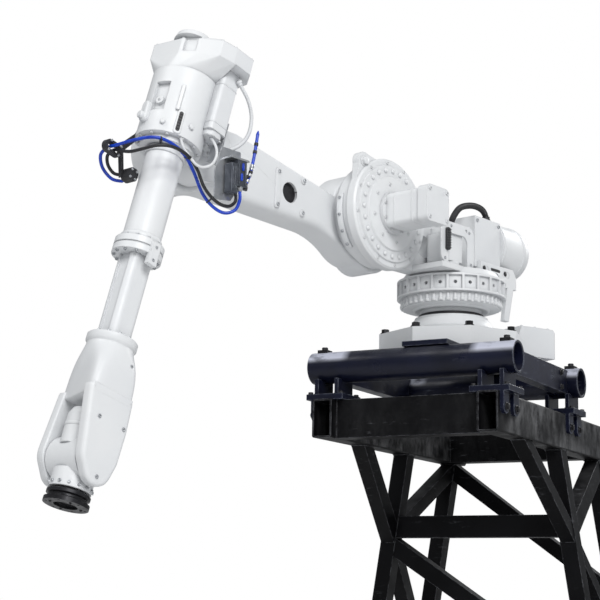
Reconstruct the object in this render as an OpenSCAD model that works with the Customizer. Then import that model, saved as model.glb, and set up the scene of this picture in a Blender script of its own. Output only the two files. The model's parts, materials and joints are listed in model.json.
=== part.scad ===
// Six-axis industrial arm on a steel stand.
// Millimetres, +Z up. The origin is on the floor under the middle of the front sole plate.
// +X is the working side of the stand, +Y is its left side.

/* [Stand] */
// Height of the arm's foot above the floor
stand_h = 2100; // [1900:10:2400]
// Distance from the front sole plate's middle to the arm's first axis
robot_x = 390; // [340:5:440]
// Distance between the front and rear legs
leg_pitch = 690; // [600:10:800]
// Width of a square leg
leg_w = 90; // [70:1:110]
// Outward lean of the legs in degrees
leg_splay = 8.9; // [6:0.1:11]
// Half distance between the two long beams' middles
beam_y = 455; // [430:1:490]
// Width of a long beam
beam_w = 110; // [90:1:130]
// Height of a long beam
beam_h = 200; // [170:1:220]
// Wall of the hollow beams
beam_wall = 9; // [6:0.5:12]
// Reach of the long beams in front of the front legs
beam_front = 1020; // [960:5:1080]
// Overhang of the long beams behind the rear legs
beam_tail = 110; // [90:1:140]
// Set-back of the front cross beam from the long beams' open ends
beam_recess = 60; // [40:1:90]
// Set-back of the rear cross beam from the long beams' rear ends
tail_recess = 145; // [138:1:170]
// Thickness of the sole plates on the floor
sole_t = 30; // [20:1:40]
// Width of the sole plates
sole_w = 240; // [200:1:280]
// Length that a sole plate reaches past the legs' middles
sole_over = 130; // [110:1:160]
// Radius of the floor anchor holes
anchor_r = 14; // [10:0.5:18]
// Distance of the anchor holes from the sole plates' ends
anchor_in = 55; // [45:1:65]
// Height of the front tie above the floor, at its middle
tie_z = 1168; // [1100:1:1220]
// Depth of the tie bar
tie_h = 122; // [100:1:140]
// Depth of the diagonal braces
brace_w = 84; // [70:1:95]
// Reach of the cantilever braces along the long beams
cant_x = 600; // [540:5:660]
// Drop of the cantilever braces' lower end below the tie's middle
cant_drop = 90; // [70:1:110]

/* [Deck] */
// Radius of the round deck tubes
tube_r = 83; // [74:1:95]
// Wall of the deck tubes
tube_wall = 12; // [8:0.5:16]
// Distance from the first axis to each deck tube
tube_x = 500; // [480:1:530]
// Length that a deck tube reaches past the saddle plates
tube_over = 10; // [6:1:16]
// Width of the deck plate's tongues over the tubes
deck_w = 250; // [230:5:280]
// Thickness of the plate under the arm's foot
deck_t = 25; // [15:1:35]
// Thickness of the saddle plates on the beams
saddle_t = 30; // [20:1:36]
// Height from the saddle plate up to the tube's underside
saddle_gap = 66; // [50:1:80]
// Half length of a saddle plate along the tube
saddle_half = 105; // [90:1:115]
// Thickness of a saddle's gusset
gusset_t = 22; // [16:1:28]
// Length of the rounded lugs that hang beside the beams
lug_l = 110; // [100:1:120]
// Width of the rounded lugs
lug_w = 70; // [60:1:80]
// Height of the link boxes between the tubes
link_h = 130; // [110:1:150]
// Width of the link boxes between the tubes
link_w = 70; // [55:1:85]
// Clearance between a seat and what lies or turns on it
seat_gap = 0.3; // [0.2:0.05:0.5]

/* [Foot and turret] */
// Turn of the foot casting on the deck in degrees
foot_turn = -30; // [-35:1:-25]
// Corner radius of the eight-sided foot
foot_r = 400; // [380:1:430]
// Thickness of the foot's flange
foot_t = 72; // [60:1:85]
// Thickness of the levelling slab under the foot's flange
riser_t = 32; // [24:1:40]
// Length of the cable box behind the foot
box_l = 270; // [250:1:290]
// Width of the cable box
box_w = 230; // [210:1:250]
// Height of the cable box
box_h = 165; // [150:1:180]
// Height of the foot's neck above its underside
seam_z = 170; // [162:1:178]
// Radius of the neck at the running seam
neck_r = 198; // [185:1:210]
// Height of the open running groove of the first axis
axis1_gap = 40; // [32:1:46]
// Turn of the turret at rest in degrees
swing = -13.7; // [-20:0.1:-8]
// Radius of the ribbed turret ring
ring_r = 296; // [285:1:305]
// Height of the ribbed turret ring
ring_h = 96; // [88:1:104]
// Number of fields round the turret ring
ring_fields = 22; // [18:1:26]
// Height of the bolt ring below the ribbed ring
bolt_ring_h = 66; // [60:1:72]
// Height of the drum above the ribbed ring
drum_h = 40; // [34:1:48]
// Forward distance of the second axis
axis2_x = 600; // [590:1:610]
// Height of the second axis above the foot's underside
axis2_z = 630; // [620:1:645]
// Radius of the second axis' gearbox
gear_r = 290; // [280:1:300]
// Left face of the gearbox
gear_y = 72; // [64:1:80]
// Length of the second axis' motor
motor2_l = 289; // [260:1:310]
// Distance of the first axis' motor in front of the first axis
motor1_x = 192; // [184:1:200]
// Width of the first axis' motor
motor1_w = 150; // [140:1:156]
// Height of the guard beside the first axis' motor
guard_h = 228; // [215:1:240]
// Distance of the balancer's box behind the first axis
bal_x = 40; // [30:1:55]
// Length of the balancer's box
bal_l = 240; // [220:1:260]
// Height of the balancer's box
bal_h = 285; // [270:1:300]
// Width of the balancer's box
bal_w = 260; // [240:1:270]
// Radius of the balancing cylinder
bal_r = 158; // [150:1:164]
// Length of the balancing cylinder behind its box
bal_cyl = 300; // [280:1:320]

/* [Lower arm] */
// Distance from the second axis to the third
lower_len = 1280; // [1240:5:1320]
// Lean of the lower arm from upright at rest in degrees
lean = 87.5; // [80:0.1:90]
// Radius of the lower hub
hub_r = 240; // [232:1:250]
// Radius of the lobe in front of the lower hub
lobe_r = 165; // [156:1:174]
// Radius of the upper end
elbow_r = 186; // [175:1:195]
// Depth of the web above the joint line at the second axis
web_root = 34; // [24:1:44]
// Depth of the web above the joint line where its slope ends
web_up = 190; // [180:1:196]
// Length of the web's sloped upper edge
web_run = 950; // [900:5:1000]
// Depth of the web below the joint line
web_down = 130; // [120:1:140]
// Thickness of the lower arm
arm_t = 170; // [150:1:185]
// Distance of the web's round hole from the second axis
hole_l = 565; // [545:1:585]
// Radius of the web's round hole
hole_r = 52; // [46:1:56]
// Left face of the lower arm's web
arm_y = -132; // [-138:1:-128]
// Running gap at the arm joints
joint_gap = 6; // [5:0.5:8]

/* [Upper arm] */
// Fold of the upper arm at rest in degrees
fold = -14.1; // [-18:0.1:-8]
// Distance from the third axis to the forearm's axis
elbow_off = 200; // [190:1:210]
// Radius of the housing round the forearm's axis
house_r = 150; // [142:1:156]
// Housing's end towards the wrist
house_end = 122; // [114:1:130]
// Housing's end towards the gear cover
house_back = 215; // [205:1:225]
// Radius of the round end of the axis cover
elbow_cover_r = 48; // [44:1:49]
// Drop of the gear cover's slanted underside
cover_drop = 75; // [66:1:84]
// Thickness of the gear cover's rim
cover_t = 78; // [70:1:86]
// Width of the fourth axis' motor
motor4_w = 100; // [94:1:106]
// Sideways place of the fourth axis' motor
motor4_y = 137; // [132:1:142]
// Distance of the fourth axis' motor below the forearm's axis
motor4_h = 103; // [99:1:105]
// Length of the connector block
block_l = 120; // [110:1:130]
// Width of the connector block
block_w = 50; // [44:1:56]
// Radius of the two hoses
hose_r = 7.5; // [6:0.5:8]

/* [Forearm and wrist] */
// Radius of the inner forearm tube
tube1_r = 84; // [78:1:90]
// Half width of the extension tube
tube2_r = 60; // [56:1:64]
// Width of the channel along the extension tube
channel_w = 62; // [54:1:70]
// Depth of the channel along the extension tube
channel_d = 8; // [6:0.5:10]
// Radius of the joint ring and of the wrist flange
flange_r = 109; // [103:1:115]
// Thickness of the joint ring
joint_ring_t = 66; // [56:1:72]
// Length of the joint ring's ear
ear_l = 105; // [95:1:115]
// Length of the forearm extension
extension_l = 450; // [420:5:480]
// Distance from the wrist flange to the fifth axis
wrist_l = 534; // [520:1:548]
// Distance from the forearm's foot to the fifth axis
forearm_l = 1592; // [1560:1:1620]
// Half of the gap between the fork's prongs
fork_gap = 101; // [97:1:106]
// Thickness of a prong
prong_t = 50; // [42:1:56]
// Distance from the fifth axis to the bottom of the fork
fork_l = 245; // [238:1:252]
// Height of the wrist housing's brow above the forearm's axis
brow_h = 150; // [142:1:158]
// Height of the brow on the right prong's side
brow_low = 62; // [56:1:68]
// Depth of the wrist housing below the forearm's axis
heel_h = 82; // [76:1:88]
// Distance from the fifth axis to the tool face
tool_l = 200; // [194:1:206]
// Radius of the tool flange
tool_r = 95; // [90:1:97]
// Pitch circle of the tool bolts
tool_pcd = 160; // [150:1:166]
// Radius of the tool bolt holes
tool_hole_r = 5.5; // [4:0.5:7]
// Number of tool bolt holes
tool_holes = 6; // [4:1:8]
// Radius of the centring bore in the tool flange
tool_bore_r = 50; // [40:1:56]
// Depth of the centring bore
tool_bore_l = 14; // [10:1:18]

/* [Hidden] */
$fn = 64;

paint = "whitesmoke";
navy = "midnightblue";
steel_black = "#1c1c20";

// Heights of the stand's levels above the floor
deck_z = stand_h - riser_t - deck_t;
tube_z = deck_z - seat_gap - tube_r;
saddle_z = tube_z - tube_r - saddle_gap;
beam_top = saddle_z - saddle_t;
beam_z = beam_top - beam_h;
beam_back = -leg_pitch - beam_tail;
leg_run = beam_z - sole_t;
splay_t = tan(leg_splay);
leg_foot_y = beam_y + leg_run * splay_t;
sole_half = leg_foot_y + sole_over;
// Sideways place of a leg's middle at a height
function leg_y(z) = beam_y + (beam_z - z) * splay_t;

// Levels of the first axis above the foot's underside
bolt_ring_z = seam_z + axis1_gap;
ring_z = bolt_ring_z + bolt_ring_h;
ring_top = ring_z + ring_h;
gear_back = arm_y + 44;
gear_root = gear_y - 70;
// Shelf of the turret for the first axis' motor, and the balancer's seat
shelf_z = ring_top + drum_h;
shelf_y = 200;
balancer_z = shelf_z + 48;
tube_half = beam_y + saddle_half + tube_over;
// Left face of the elbow's hub, level with the housing where the cover's edge meets it
elbow_y = sqrt(max(100, pow(house_r, 2) - pow(elbow_off - elbow_cover_r - 1, 2)));
forearm_ring = forearm_l - wrist_l - extension_l;
wrist_flange = forearm_l - wrist_l;
fork_out = fork_gap + prong_t;
// The web's round hole lies midway between its edges
hole_x = (web_down - web_root - (web_up - web_root) * hole_l / web_run) / 2;
lobe_at = lobe_r * [0.62, -0.5];
// Connector block hangs upright while the forearm leans, from the middle of its top
block_tilt = 90 - lean - fold;
block_at = [107, 225, -226];
function on_block(x, y, z) = block_at + [x * cos(block_tilt) + z * sin(block_tilt), y,
  z * cos(block_tilt) - x * sin(block_tilt)];
// Middle of the hose clamp and of the gland that takes the hoses' ends
clamp_at = [223, -100, 208];
gland_at = [311, -60, 110];

module at_robot() { translate([robot_x, 0, stand_h]) children(); }
module at_turret() { at_robot() rotate([0, 0, swing]) children(); }
module at_axis2() { at_turret() translate([axis2_x, 0, axis2_z]) children(); }
module at_lower() { at_axis2() rotate([0, lean, 0]) children(); }
module at_axis3() { at_lower() translate([0, 0, lower_len]) children(); }
module at_elbow() { at_axis3() rotate([0, fold, 0]) children(); }
// Forearm frame: X along the forearm towards the tool, Z away from the third axis
module at_upper() { at_elbow() translate([0, 0, elbow_off]) children(); }
module at_wrist() { at_upper() translate([forearm_l, 0, 0]) children(); }

// Cylinder along X, Y
module xcyl(r, x0, x1) { translate([x0, 0, 0]) rotate([0, 90, 0]) cylinder(r = r, h = x1 - x0); }
module ycyl(r, y0, y1) { translate([0, y0, 0]) rotate([-90, 0, 0]) cylinder(r = r, h = y1 - y0); }
// Outline in the XZ plane carried along Y, and outline in the YZ plane carried along X
module yplate(y0, y1) { translate([0, y1, 0]) rotate([90, 0, 0]) linear_extrude(y1 - y0) children(); }
module xplate(x0, x1) { translate([x0, 0, 0]) rotate([90, 0, 90]) linear_extrude(x1 - x0) children(); }
// Profile (radius, height) turned about Y or X
module yturn(pts) { rotate([-90, 0, 0]) rotate_extrude() polygon(pts); }
module xturn(pts) { rotate([0, 90, 0]) rotate_extrude() polygon(pts); }

module rrect(w, h, r) {
  square([w - 2 * r, h], center = true);
  square([w, h - 2 * r], center = true);
  for (i = [-1, 1], j = [-1, 1]) translate([i * (w / 2 - r), j * (h / 2 - r)]) circle(r);
}
// Two circles joined by their tangent lines, the second one up the Y axis
module taper_link(r1, r2, d) {
  b = asin((r1 - r2) / d);
  circle(r1);
  translate([0, d]) circle(r2);
  polygon([for (i = [-1, 1], k = i < 0 ? [0, 1] : [1, 0])
    k == 0 ? [i * r1 * cos(b), r1 * sin(b)] : [i * r2 * cos(b), d + r2 * sin(b)]]);
}
// Fillet between a hub of radius r at the origin and a straight edge x = w that runs up Y.
// The arc bites into both by a little, so the outlines cross and don't only touch.
module hub_fillet(r, w, rf) {
  bite = 0.6;
  c = [w + rf - bite, sqrt(pow(r + rf - bite, 2) - pow(w + rf - bite, 2))];
  difference() {
    polygon([[0, 0], c * r / (r + rf), c, [0, c[1]]]);
    translate(c) circle(rf);
  }
}
// Box with eight free corners: four at one end, four at the other, in the same order round
module bar8(a, b) {
  polyhedron(concat(a, b), [[0, 1, 2, 3], [7, 6, 5, 4], [0, 4, 5, 1], [1, 5, 6, 2], [2, 6, 7, 3], [3, 7, 4, 0]]);
}

// Sweep of a round section along points
function unit(v) = v / norm(v);
function path_dir(p, i) = unit(p[min(i + 1, len(p) - 1)] - p[max(i - 1, 0)]);
function side_dir(t) = unit(cross(t, abs(t[2]) < 0.9 ? [0, 0, 1] : [0, 1, 0]));
function carry(p, i, s) = let (t = path_dir(p, i)) unit(s - t * (s * t));
function side_list(p, i = 0, acc = []) =
  i == len(p) ? acc
    : side_list(p, i + 1, concat(acc, [i == 0 ? side_dir(path_dir(p, 0)) : carry(p, i, acc[i - 1])]));
// Smooth points through a list of hand-set points
function spline(p, i, t) =
  let (n = len(p) - 1, a = p[max(i - 1, 0)], b = p[i], c = p[min(i + 1, n)], d = p[min(i + 2, n)])
  b + 0.5 * t * ((c - a) + t * ((2 * a - 5 * b + 4 * c - d) + t * (3 * (b - c) + d - a)));
function smooth_path(p, k) =
  concat([for (i = [0 : len(p) - 2], j = [0 : k - 1]) spline(p, i, j / k)], [p[len(p) - 1]]);
module sweep(p, r, n = 8) {
  s = side_list(p);
  pts = [for (i = [0 : len(p) - 1], j = [0 : n - 1])
    let (t = path_dir(p, i), u = s[i], v = cross(t, u), a = 360 * j / n)
      p[i] + r * (cos(a) * u + sin(a) * v)];
  m = len(p);
  faces = concat([[for (j = [n - 1 : -1 : 0]) j]],
    [for (i = [0 : m - 2], j = [0 : n - 1])
      [i * n + j, i * n + (j + 1) % n, (i + 1) * n + (j + 1) % n, (i + 1) * n + j]],
    [[for (j = [0 : n - 1]) (m - 1) * n + j]]);
  polyhedron(pts, [for (f = faces) [for (q = [len(f) - 1 : -1 : 0]) f[q]]]);
}

// Stand

module sole_plates() {
  color(steel_black) for (x = [0, -leg_pitch]) difference() {
    translate([x - sole_w / 2, -sole_half, 0]) cube([sole_w, 2 * sole_half, sole_t]);
    for (y = [-1, 1]) translate([x, y * (sole_half - anchor_in), -1]) cylinder(r = anchor_r, h = sole_t + 2);
  }
}

module legs() {
  color(steel_black) for (x = [0, -leg_pitch], i = [-1, 1]) xplate(x - leg_w / 2, x + leg_w / 2)
    polygon([for (z = [sole_t, beam_z], k = z < beam_z ? [-1, 1] : [1, -1])
      [i * leg_y(z) + k * leg_w / 2, z]]);
}

module front_tie() {
  z0 = tie_z - tie_h / 2;
  z1 = tie_z + tie_h / 2;
  in = leg_w / 2;
  color(steel_black) xplate(-leg_w / 2, leg_w / 2)
    polygon([[-leg_y(z0) + in, z0], [leg_y(z0) - in, z0], [leg_y(z1) - in, z1], [-leg_y(z1) + in, z1]]);
}

// Brace in the plane of one side frame, from a level edge under the beam to an upright leg face
module beam_to_leg(side, x_beam, x_leg, z_leg, dir) {
  h = brace_w / 2 - 2;
  zs = [z_leg, z_leg + brace_w * 1.35];
  xs = [x_beam, x_beam - dir * brace_w * 1.35];
  a = [[xs[0], side * beam_y - h, beam_z], [xs[0], side * beam_y + h, beam_z],
    [xs[1], side * beam_y + h, beam_z], [xs[1], side * beam_y - h, beam_z]];
  b = [[x_leg, side * leg_y(zs[0]) - h, zs[0]], [x_leg, side * leg_y(zs[0]) + h, zs[0]],
    [x_leg, side * leg_y(zs[1]) + h, zs[1]], [x_leg, side * leg_y(zs[1]) - h, zs[1]]];
  if (dir > 0) bar8(b, a); else bar8(a, b);
}

module cantilever_braces() {
  color(steel_black) for (i = [-1, 1]) beam_to_leg(i, cant_x, leg_w / 2, tie_z - cant_drop, 1);
}

// Brace between the facing sides of a front and a rear leg
module leg_to_leg(side, z_front, z_rear) {
  h = brace_w / 2 - 2;
  d = brace_w * 1.25;
  xf = -leg_w / 2;
  xr = -leg_pitch + leg_w / 2;
  ends = [[0, -1], [0, 1], [1, 1], [1, -1]];
  a = [for (k = ends) let (z = z_front + k[0] * d) [xf, side * leg_y(z) + k[1] * h, z]];
  b = [for (k = ends) let (z = z_rear + k[0] * d) [xr, side * leg_y(z) + k[1] * h, z]];
  bar8(b, a);
}

module side_braces() {
  color(steel_black) for (i = [-1, 1]) {
    leg_to_leg(i, tie_z - 40, beam_z - brace_w * 1.25);
    leg_to_leg(i, tie_z - 190, sole_t + 330);
  }
}

// Brace across the stand between the facing sides of a left and a right leg
module leg_across(x, z_right, z_left, t) {
  d = brace_w * 1.2;
  in = leg_w / 2;
  xplate(x - t / 2, x + t / 2) polygon([[-leg_y(z_right) + in, z_right], [leg_y(z_left) - in, z_left],
    [leg_y(z_left + d) - in, z_left + d], [-leg_y(z_right + d) + in, z_right + d]]);
}

module cross_braces() {
  color(steel_black) {
    leg_across(0, tie_z - tie_h / 2 - brace_w * 1.2 - 4, sole_t + 270, leg_w - 10);
    leg_across(-leg_pitch, beam_z - brace_w * 1.2, beam_z - 790, leg_w - 10);
  }
}

module side_beams() {
  color(steel_black) for (i = [-1, 1]) translate([0, i * beam_y, (beam_top + beam_z) / 2])
    xplate(beam_back, beam_front) difference() {
      rrect(beam_w, beam_h, 12);
      square([beam_w - 2 * beam_wall, beam_h - 2 * beam_wall], center = true);
    }
}

module cross_beams() {
  y = beam_y - beam_w / 2;
  color(steel_black) for (x = [beam_front - beam_recess - beam_w, beam_back + tail_recess])
    translate([x, -y, beam_z]) cube([beam_w, 2 * y, beam_h]);
}

// Plate on the beam with two hollowed gussets under the tube and a rounded lug beside the beam
module saddle(side) {
  lug_y = side * (beam_w / 2 + seat_gap + gusset_t / 2);
  translate([-saddle_half, -saddle_half, beam_top]) cube([2 * saddle_half, 2 * saddle_half, saddle_t]);
  for (i = [-1, 1]) translate([0, i * saddle_half * 0.55, 0])
    yplate(-gusset_t / 2, gusset_t / 2) difference() {
    translate([0, saddle_z]) polygon([[-tube_r, 0], [tube_r, 0], [tube_r, saddle_gap + tube_r * 0.2],
      [-tube_r, saddle_gap + tube_r * 0.2]]);
    translate([0, tube_z]) circle(tube_r + seat_gap);
  }
  for (i = [-1, 1]) translate([i * (saddle_half - lug_w / 2), lug_y, beam_top])
    yplate(-gusset_t / 2, gusset_t / 2) {
    translate([-lug_w / 2, lug_w / 2 - lug_l]) square([lug_w, lug_l - lug_w / 2]);
    translate([0, lug_w / 2 - lug_l]) circle(lug_w / 2);
  }
}

module saddles() {
  color(navy) for (i = [-1, 1], j = [-1, 1]) translate([robot_x + i * tube_x, j * beam_y, 0]) saddle(j);
}

module deck_tubes() {
  color(navy) for (i = [-1, 1]) translate([robot_x + i * tube_x, 0, tube_z]) difference() {
    ycyl(tube_r, -tube_half, tube_half);
    ycyl(tube_r - tube_wall, -tube_half - 1, tube_half + 1);
  }
}

module tube_links() {
  y = beam_y + beam_w / 2 - link_w;
  color(navy) for (i = [-1, 1]) difference() {
    translate([robot_x - tube_x, i > 0 ? y : -y - link_w, tube_z - link_h / 2])
      cube([2 * tube_x, link_w, link_h]);
    for (j = [-1, 1]) translate([robot_x + j * tube_x, 0, tube_z])
      ycyl(tube_r + seat_gap, -tube_half, tube_half);
  }
}

// Block with a bolt on top of a tube's end
module tube_pads() {
  color(steel_black) for (i = [-1, 1], j = [-1, 1])
    translate([robot_x + i * tube_x, j * (tube_half - 60), tube_z]) difference() {
      union() {
        translate([-30, -28, tube_r * 0.8]) cube([60, 56, tube_r * 0.2 + 12]);
        translate([0, 0, tube_r + 12]) cylinder(r = 16, h = 16, $fn = 6);
      }
      ycyl(tube_r + seat_gap, -50, 50);
    }
}

module deck_plate() {
  color(navy) translate([robot_x, 0, deck_z]) linear_extrude(deck_t) {
    rotate(foot_turn + 22.5) circle(foot_r - 6, $fn = 8);
    translate([-tube_x - tube_r / 2, -deck_w * 0.18]) square([2 * tube_x + tube_r, deck_w]);
  }
}

// Foot and turret

module at_foot() { at_robot() rotate([0, 0, foot_turn]) children(); }

module foot_casting() {
  color(paint) at_foot() {
    translate([0, 0, -riser_t]) rotate([0, 0, 22.5]) cylinder(r = foot_r, h = foot_t + riser_t, $fn = 8);
    rotate_extrude() polygon([[0, foot_t - 1], [foot_r * 0.84, foot_t - 1], [foot_r * 0.84, foot_t + 8],
      [neck_r + 40, foot_t + 34], [neck_r + 8, seam_z - 14], [neck_r, seam_z - 8], [neck_r, seam_z], [0, seam_z]]);
  }
}

module cable_box() {
  flat = foot_r * cos(22.5);
  color(paint) at_foot() yplate(-box_w / 2, box_w / 2) polygon([[-flat - box_l, 0], [-flat, 0], [-flat, foot_t],
    [-flat - 30, box_h], [-flat - box_l + 14, box_h], [-flat - box_l, box_h - 15]]);
}

module foot_bolts() {
  color(steel_black) at_foot() for (a = [0 : 45 : 315]) rotate([0, 0, a + 22.5])
    translate([foot_r - 34, 0, foot_t]) {
      cylinder(r = 27, h = 6);
      translate([0, 0, 6]) cylinder(r = 21, h = 20, $fn = 6);
    }
}

module turret_ring() {
  step = 360 / ring_fields;
  color(paint) at_turret() {
    difference() {
      rotate_extrude() polygon([[0, seam_z + seat_gap], [neck_r - 30, seam_z + seat_gap],
        [neck_r - 30, bolt_ring_z], [neck_r, bolt_ring_z], [neck_r + 14, bolt_ring_z + 10],
        [ring_r - 30, bolt_ring_z + 14], [ring_r - 26, ring_z], [ring_r - 14, ring_z], [ring_r - 14, ring_top],
        [0, ring_top]]);
      for (k = [0 : ring_fields - 1]) rotate([0, 0, (k + 0.5) * step])
        translate([0, 0, (ring_z + ring_top) / 2]) xcyl(9, ring_r - 40, ring_r);
    }
    for (k = [0 : ring_fields - 1]) rotate([0, 0, k * step]) translate([ring_r - 20, -7, ring_z])
      cube([20, 14, ring_h]);
    for (z = [ring_z, ring_top - 12]) translate([0, 0, z]) difference() {
      cylinder(r = ring_r, h = 12);
      translate([0, 0, -1]) cylinder(r = ring_r - 20, h = 14);
    }
  }
}

// Cheek beside the gearbox, drum on the ring and shelf for the balancer
module turret_casting() {
  color(paint) at_turret() {
    translate([0, 0, ring_top]) cylinder(r1 = ring_r - 16, r2 = ring_r - 46, h = drum_h);
    yplate(gear_back + joint_gap, gear_root) difference() {
      union() {
        translate([axis2_x, axis2_z]) circle(gear_r - 22);
        polygon([[6 - bal_x, ring_top + 10], [axis2_x - 40, ring_top + 10],
          [axis2_x + gear_r * 0.6, axis2_z - gear_r * 0.7], [axis2_x, axis2_z],
          [axis2_x - gear_r * 0.62, axis2_z + gear_r * 0.7], [120, axis2_z + 60], [6 - bal_x, balancer_z]]);
      }
      translate([axis2_x - gear_r - 60, axis2_z - 100]) circle(60);
    }
    yplate(gear_root, shelf_y) polygon([[-bal_x - 10, ring_top + 10], [motor1_x + 155, ring_top + 10],
      [motor1_x + 155, shelf_z], [-bal_x - 10, shelf_z]]);
    translate([-bal_x - bal_l - 120, -bal_w / 2, ring_top])
      cube([bal_l + 100, bal_w, balancer_z - ring_top]);
  }
}

module gearbox_2() {
  lug = [200, 240];
  color(paint) at_axis2() {
    yturn([[0, gear_root], [gear_r, gear_root], [gear_r, gear_y - 26], [gear_r - 10, gear_y - 16],
      [gear_r - 34, gear_y - 16], [gear_r - 38, gear_y - 8], [gear_r - 92, gear_y - 8], [gear_r - 98, gear_y],
      [0, gear_y]]);
    yplate(gear_root, gear_y - 32) {
      translate(lug) circle(48);
      polygon([[60, gear_r - 30], lug + [-15, 45], lug + [45, -15], [gear_r - 30, 60], [0, 0]]);
    }
  }
}

module motor_2() {
  color(paint) at_axis2() {
    ycyl(112, gear_y, gear_y + 22);
    yplate(gear_y + 22, gear_y + motor2_l - 60) rrect(168, 176, 26);
    yplate(gear_y + motor2_l - 60, gear_y + motor2_l) rrect(184, 190, 30);
  }
}

module motor_1() {
  w = motor1_w;
  color(paint) at_turret() translate([motor1_x, 0, shelf_z]) {
    translate([0, gear_root + 20 + w / 2, 0]) {
      cylinder(r = w / 2 + 4, h = 24);
      translate([0, 0, 24]) linear_extrude(150) rrect(w, w, 28);
      translate([0, 0, 174]) linear_extrude(32) rrect(w - 22, w - 22, 36);
    }
    yplate(shelf_y - 22, shelf_y - 14) difference() {
      translate([0, guard_h / 2]) rrect(2 * w - 10, guard_h, 46);
      translate([0, guard_h / 2 - 40]) rrect(w + 20, guard_h - 40, 40);
      translate([-w / 2, guard_h - 26]) circle(9);
    }
  }
}

module balancer() {
  r = bal_r;
  color(paint) at_turret() translate([-bal_x - bal_l, 0, balancer_z]) {
    translate([0, -bal_w / 2, 0]) cube([bal_l, bal_w, bal_h]);
    translate([0, 0, r]) rotate([0, -90, 0]) rotate_extrude() polygon([[0, 0], [r, 0], [r, bal_cyl - 80],
      [r - 8, bal_cyl - 40], [r - 38, bal_cyl - 12], [r - 90, bal_cyl], [0, bal_cyl]]);
  }
}

module balancer_bracket() {
  x0 = -bal_x - 20;
  x1 = x0 - bal_l - 100;
  z1 = balancer_z + 30;
  color(paint) at_turret() yplate(bal_w / 2, bal_w / 2 + 25) difference() {
    union() {
      polygon([[x1, ring_top + 6], [x1 + 130, ring_top + 6], [x1 + 130, shelf_z + seat_gap],
        [x0, shelf_z + seat_gap], [x0, z1], [x1 + 30, z1], [x1, z1 - 40]]);
      polygon([[x1 + 84, ring_top + 20], [x1 + 24, ring_top + 20], [x1 + 74, box_h + 25],
        [x1 + 118, box_h + 25]]);
    }
    for (x = [x0 - 45, x0 - 245]) translate([x, z1 - 38]) rrect(56, 34, 16);
    translate([x0 - 140, z1 - 30]) rrect(90, 16, 7);
  }
}

// Lower arm

module lower_outline() {
  circle(hub_r);
  translate(lobe_at) circle(lobe_r);
  translate([0, lower_len]) circle(elbow_r);
  polygon([[-web_root, 0], [web_down, 0], [web_down, lower_len], [2 - elbow_r, lower_len], [-web_up, web_run]]);
  hub_fillet(hub_r, web_down, 450);
  translate([0, lower_len]) mirror([0, 1]) hub_fillet(elbow_r, web_down, 300);
}

// Cast arm with a slot in its lobe, a raised disc at the second axis and four bosses round the hole
module lower_arm() {
  color(paint) at_lower() difference() {
    union() {
      yplate(arm_y - arm_t, arm_y) difference() {
        lower_outline();
        translate(lobe_at + lobe_r * [0.6, 0.26]) rrect(44, 100, 20);
      }
      ycyl(hub_r - 12, arm_y, gear_back);
      ycyl(hub_r - 90, gear_back, gear_back + joint_gap - seat_gap);
      for (i = [-1, 1], j = [-1, 1]) translate([hole_x + i * 66, 0, hole_l + j * 82])
        ycyl(17, arm_y, arm_y + 8);
      translate([hole_x, 0, hole_l]) ycyl(hole_r + 14, arm_y, arm_y + 5);
    }
    translate([hole_x, 0, hole_l]) ycyl(hole_r, arm_y - 60, arm_y + 20);
  }
}

module arm_plug() {
  color(steel_black) at_lower() translate([hole_x, 0, hole_l]) ycyl(hole_r - seat_gap, arm_y - 60, arm_y - 40);
}

module motor_3() {
  y = arm_y - arm_t;
  color(paint) at_axis3() {
    ycyl(elbow_r - 40, y - 24, y);
    yplate(y - 62, y - 24) rrect(elbow_r - 30, elbow_r - 24, 30);
  }
}

// Upper arm

module arm_housing() {
  side = arm_y + joint_gap;
  color(paint) at_upper() {
    difference() {
      intersection() {
        xcyl(house_r, -house_back, house_end);
        translate([-house_back, side, -house_r]) cube([house_back + house_end, house_r - side, 2 * house_r]);
      }
      rotate([-14, 0, 0]) translate([-130, -36, house_r - 22]) cube([145, 72, 40]);
    }
    rotate([-14, 0, 0]) translate([-40, 0, house_r - 24]) cylinder(r = 20, h = 18);
    rotate([-52, 0, 0]) translate([-118, -8, house_r - 8]) cube([126, 16, 18]);
    translate([0, 0, -elbow_off]) {
      ycyl(elbow_r - 26, side, elbow_y);
      ycyl(elbow_r - 70, arm_y + seat_gap, side);
    }
    translate([-130, side, -elbow_off]) cube([house_end + 128, elbow_y - side, elbow_off]);
    xcyl(house_r - 26, house_end, house_end + 24);
    xcyl(tube1_r - 20, house_end + 24, house_end + 24 + joint_gap - seat_gap);
  }
}

// Many-sided cover over the gears, wider on the motor's side, with a slanted underside
cover_rim = [[-118, -100], [-118, 140], [52, 126], [143, 86], [226, 32], [246, -40], [250, -142], [180, -196],
  [90, -205]];
cover_mid = [45, -20];
module gear_cover() {
  d = cover_drop;
  t = cover_drop + cover_t;
  color(paint) at_upper() translate([-house_back, 0, 0]) mirror([1, 0, 0]) {
    difference() {
      hull() {
        xcyl(house_r - 8, 0, 2);
        xplate(d - 2, d) polygon(cover_rim);
      }
      translate([-1, motor4_y - motor4_w / 2 - seat_gap, -300])
        cube([d + 1, 300, 300 - motor4_h + motor4_w / 2 + seat_gap]);
      translate([-1, -300, -300]) cube([d + 1, 300 + arm_y + joint_gap, 600]);
    }
    difference() {
      xplate(d, t) polygon(cover_rim);
      xplate(d + 12, t + 1) translate([97, 106]) rotate(-23.7) square([64, 24], center = true);
    }
    xplate(t, t + 16) polygon([for (q = cover_rim) cover_mid + 0.88 * (q - cover_mid)]);
    translate([0, 42, 52]) xturn([[0, t + 16], [88, t + 16], [80, t + 42], [50, t + 56], [0, t + 60]]);
  }
}

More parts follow.
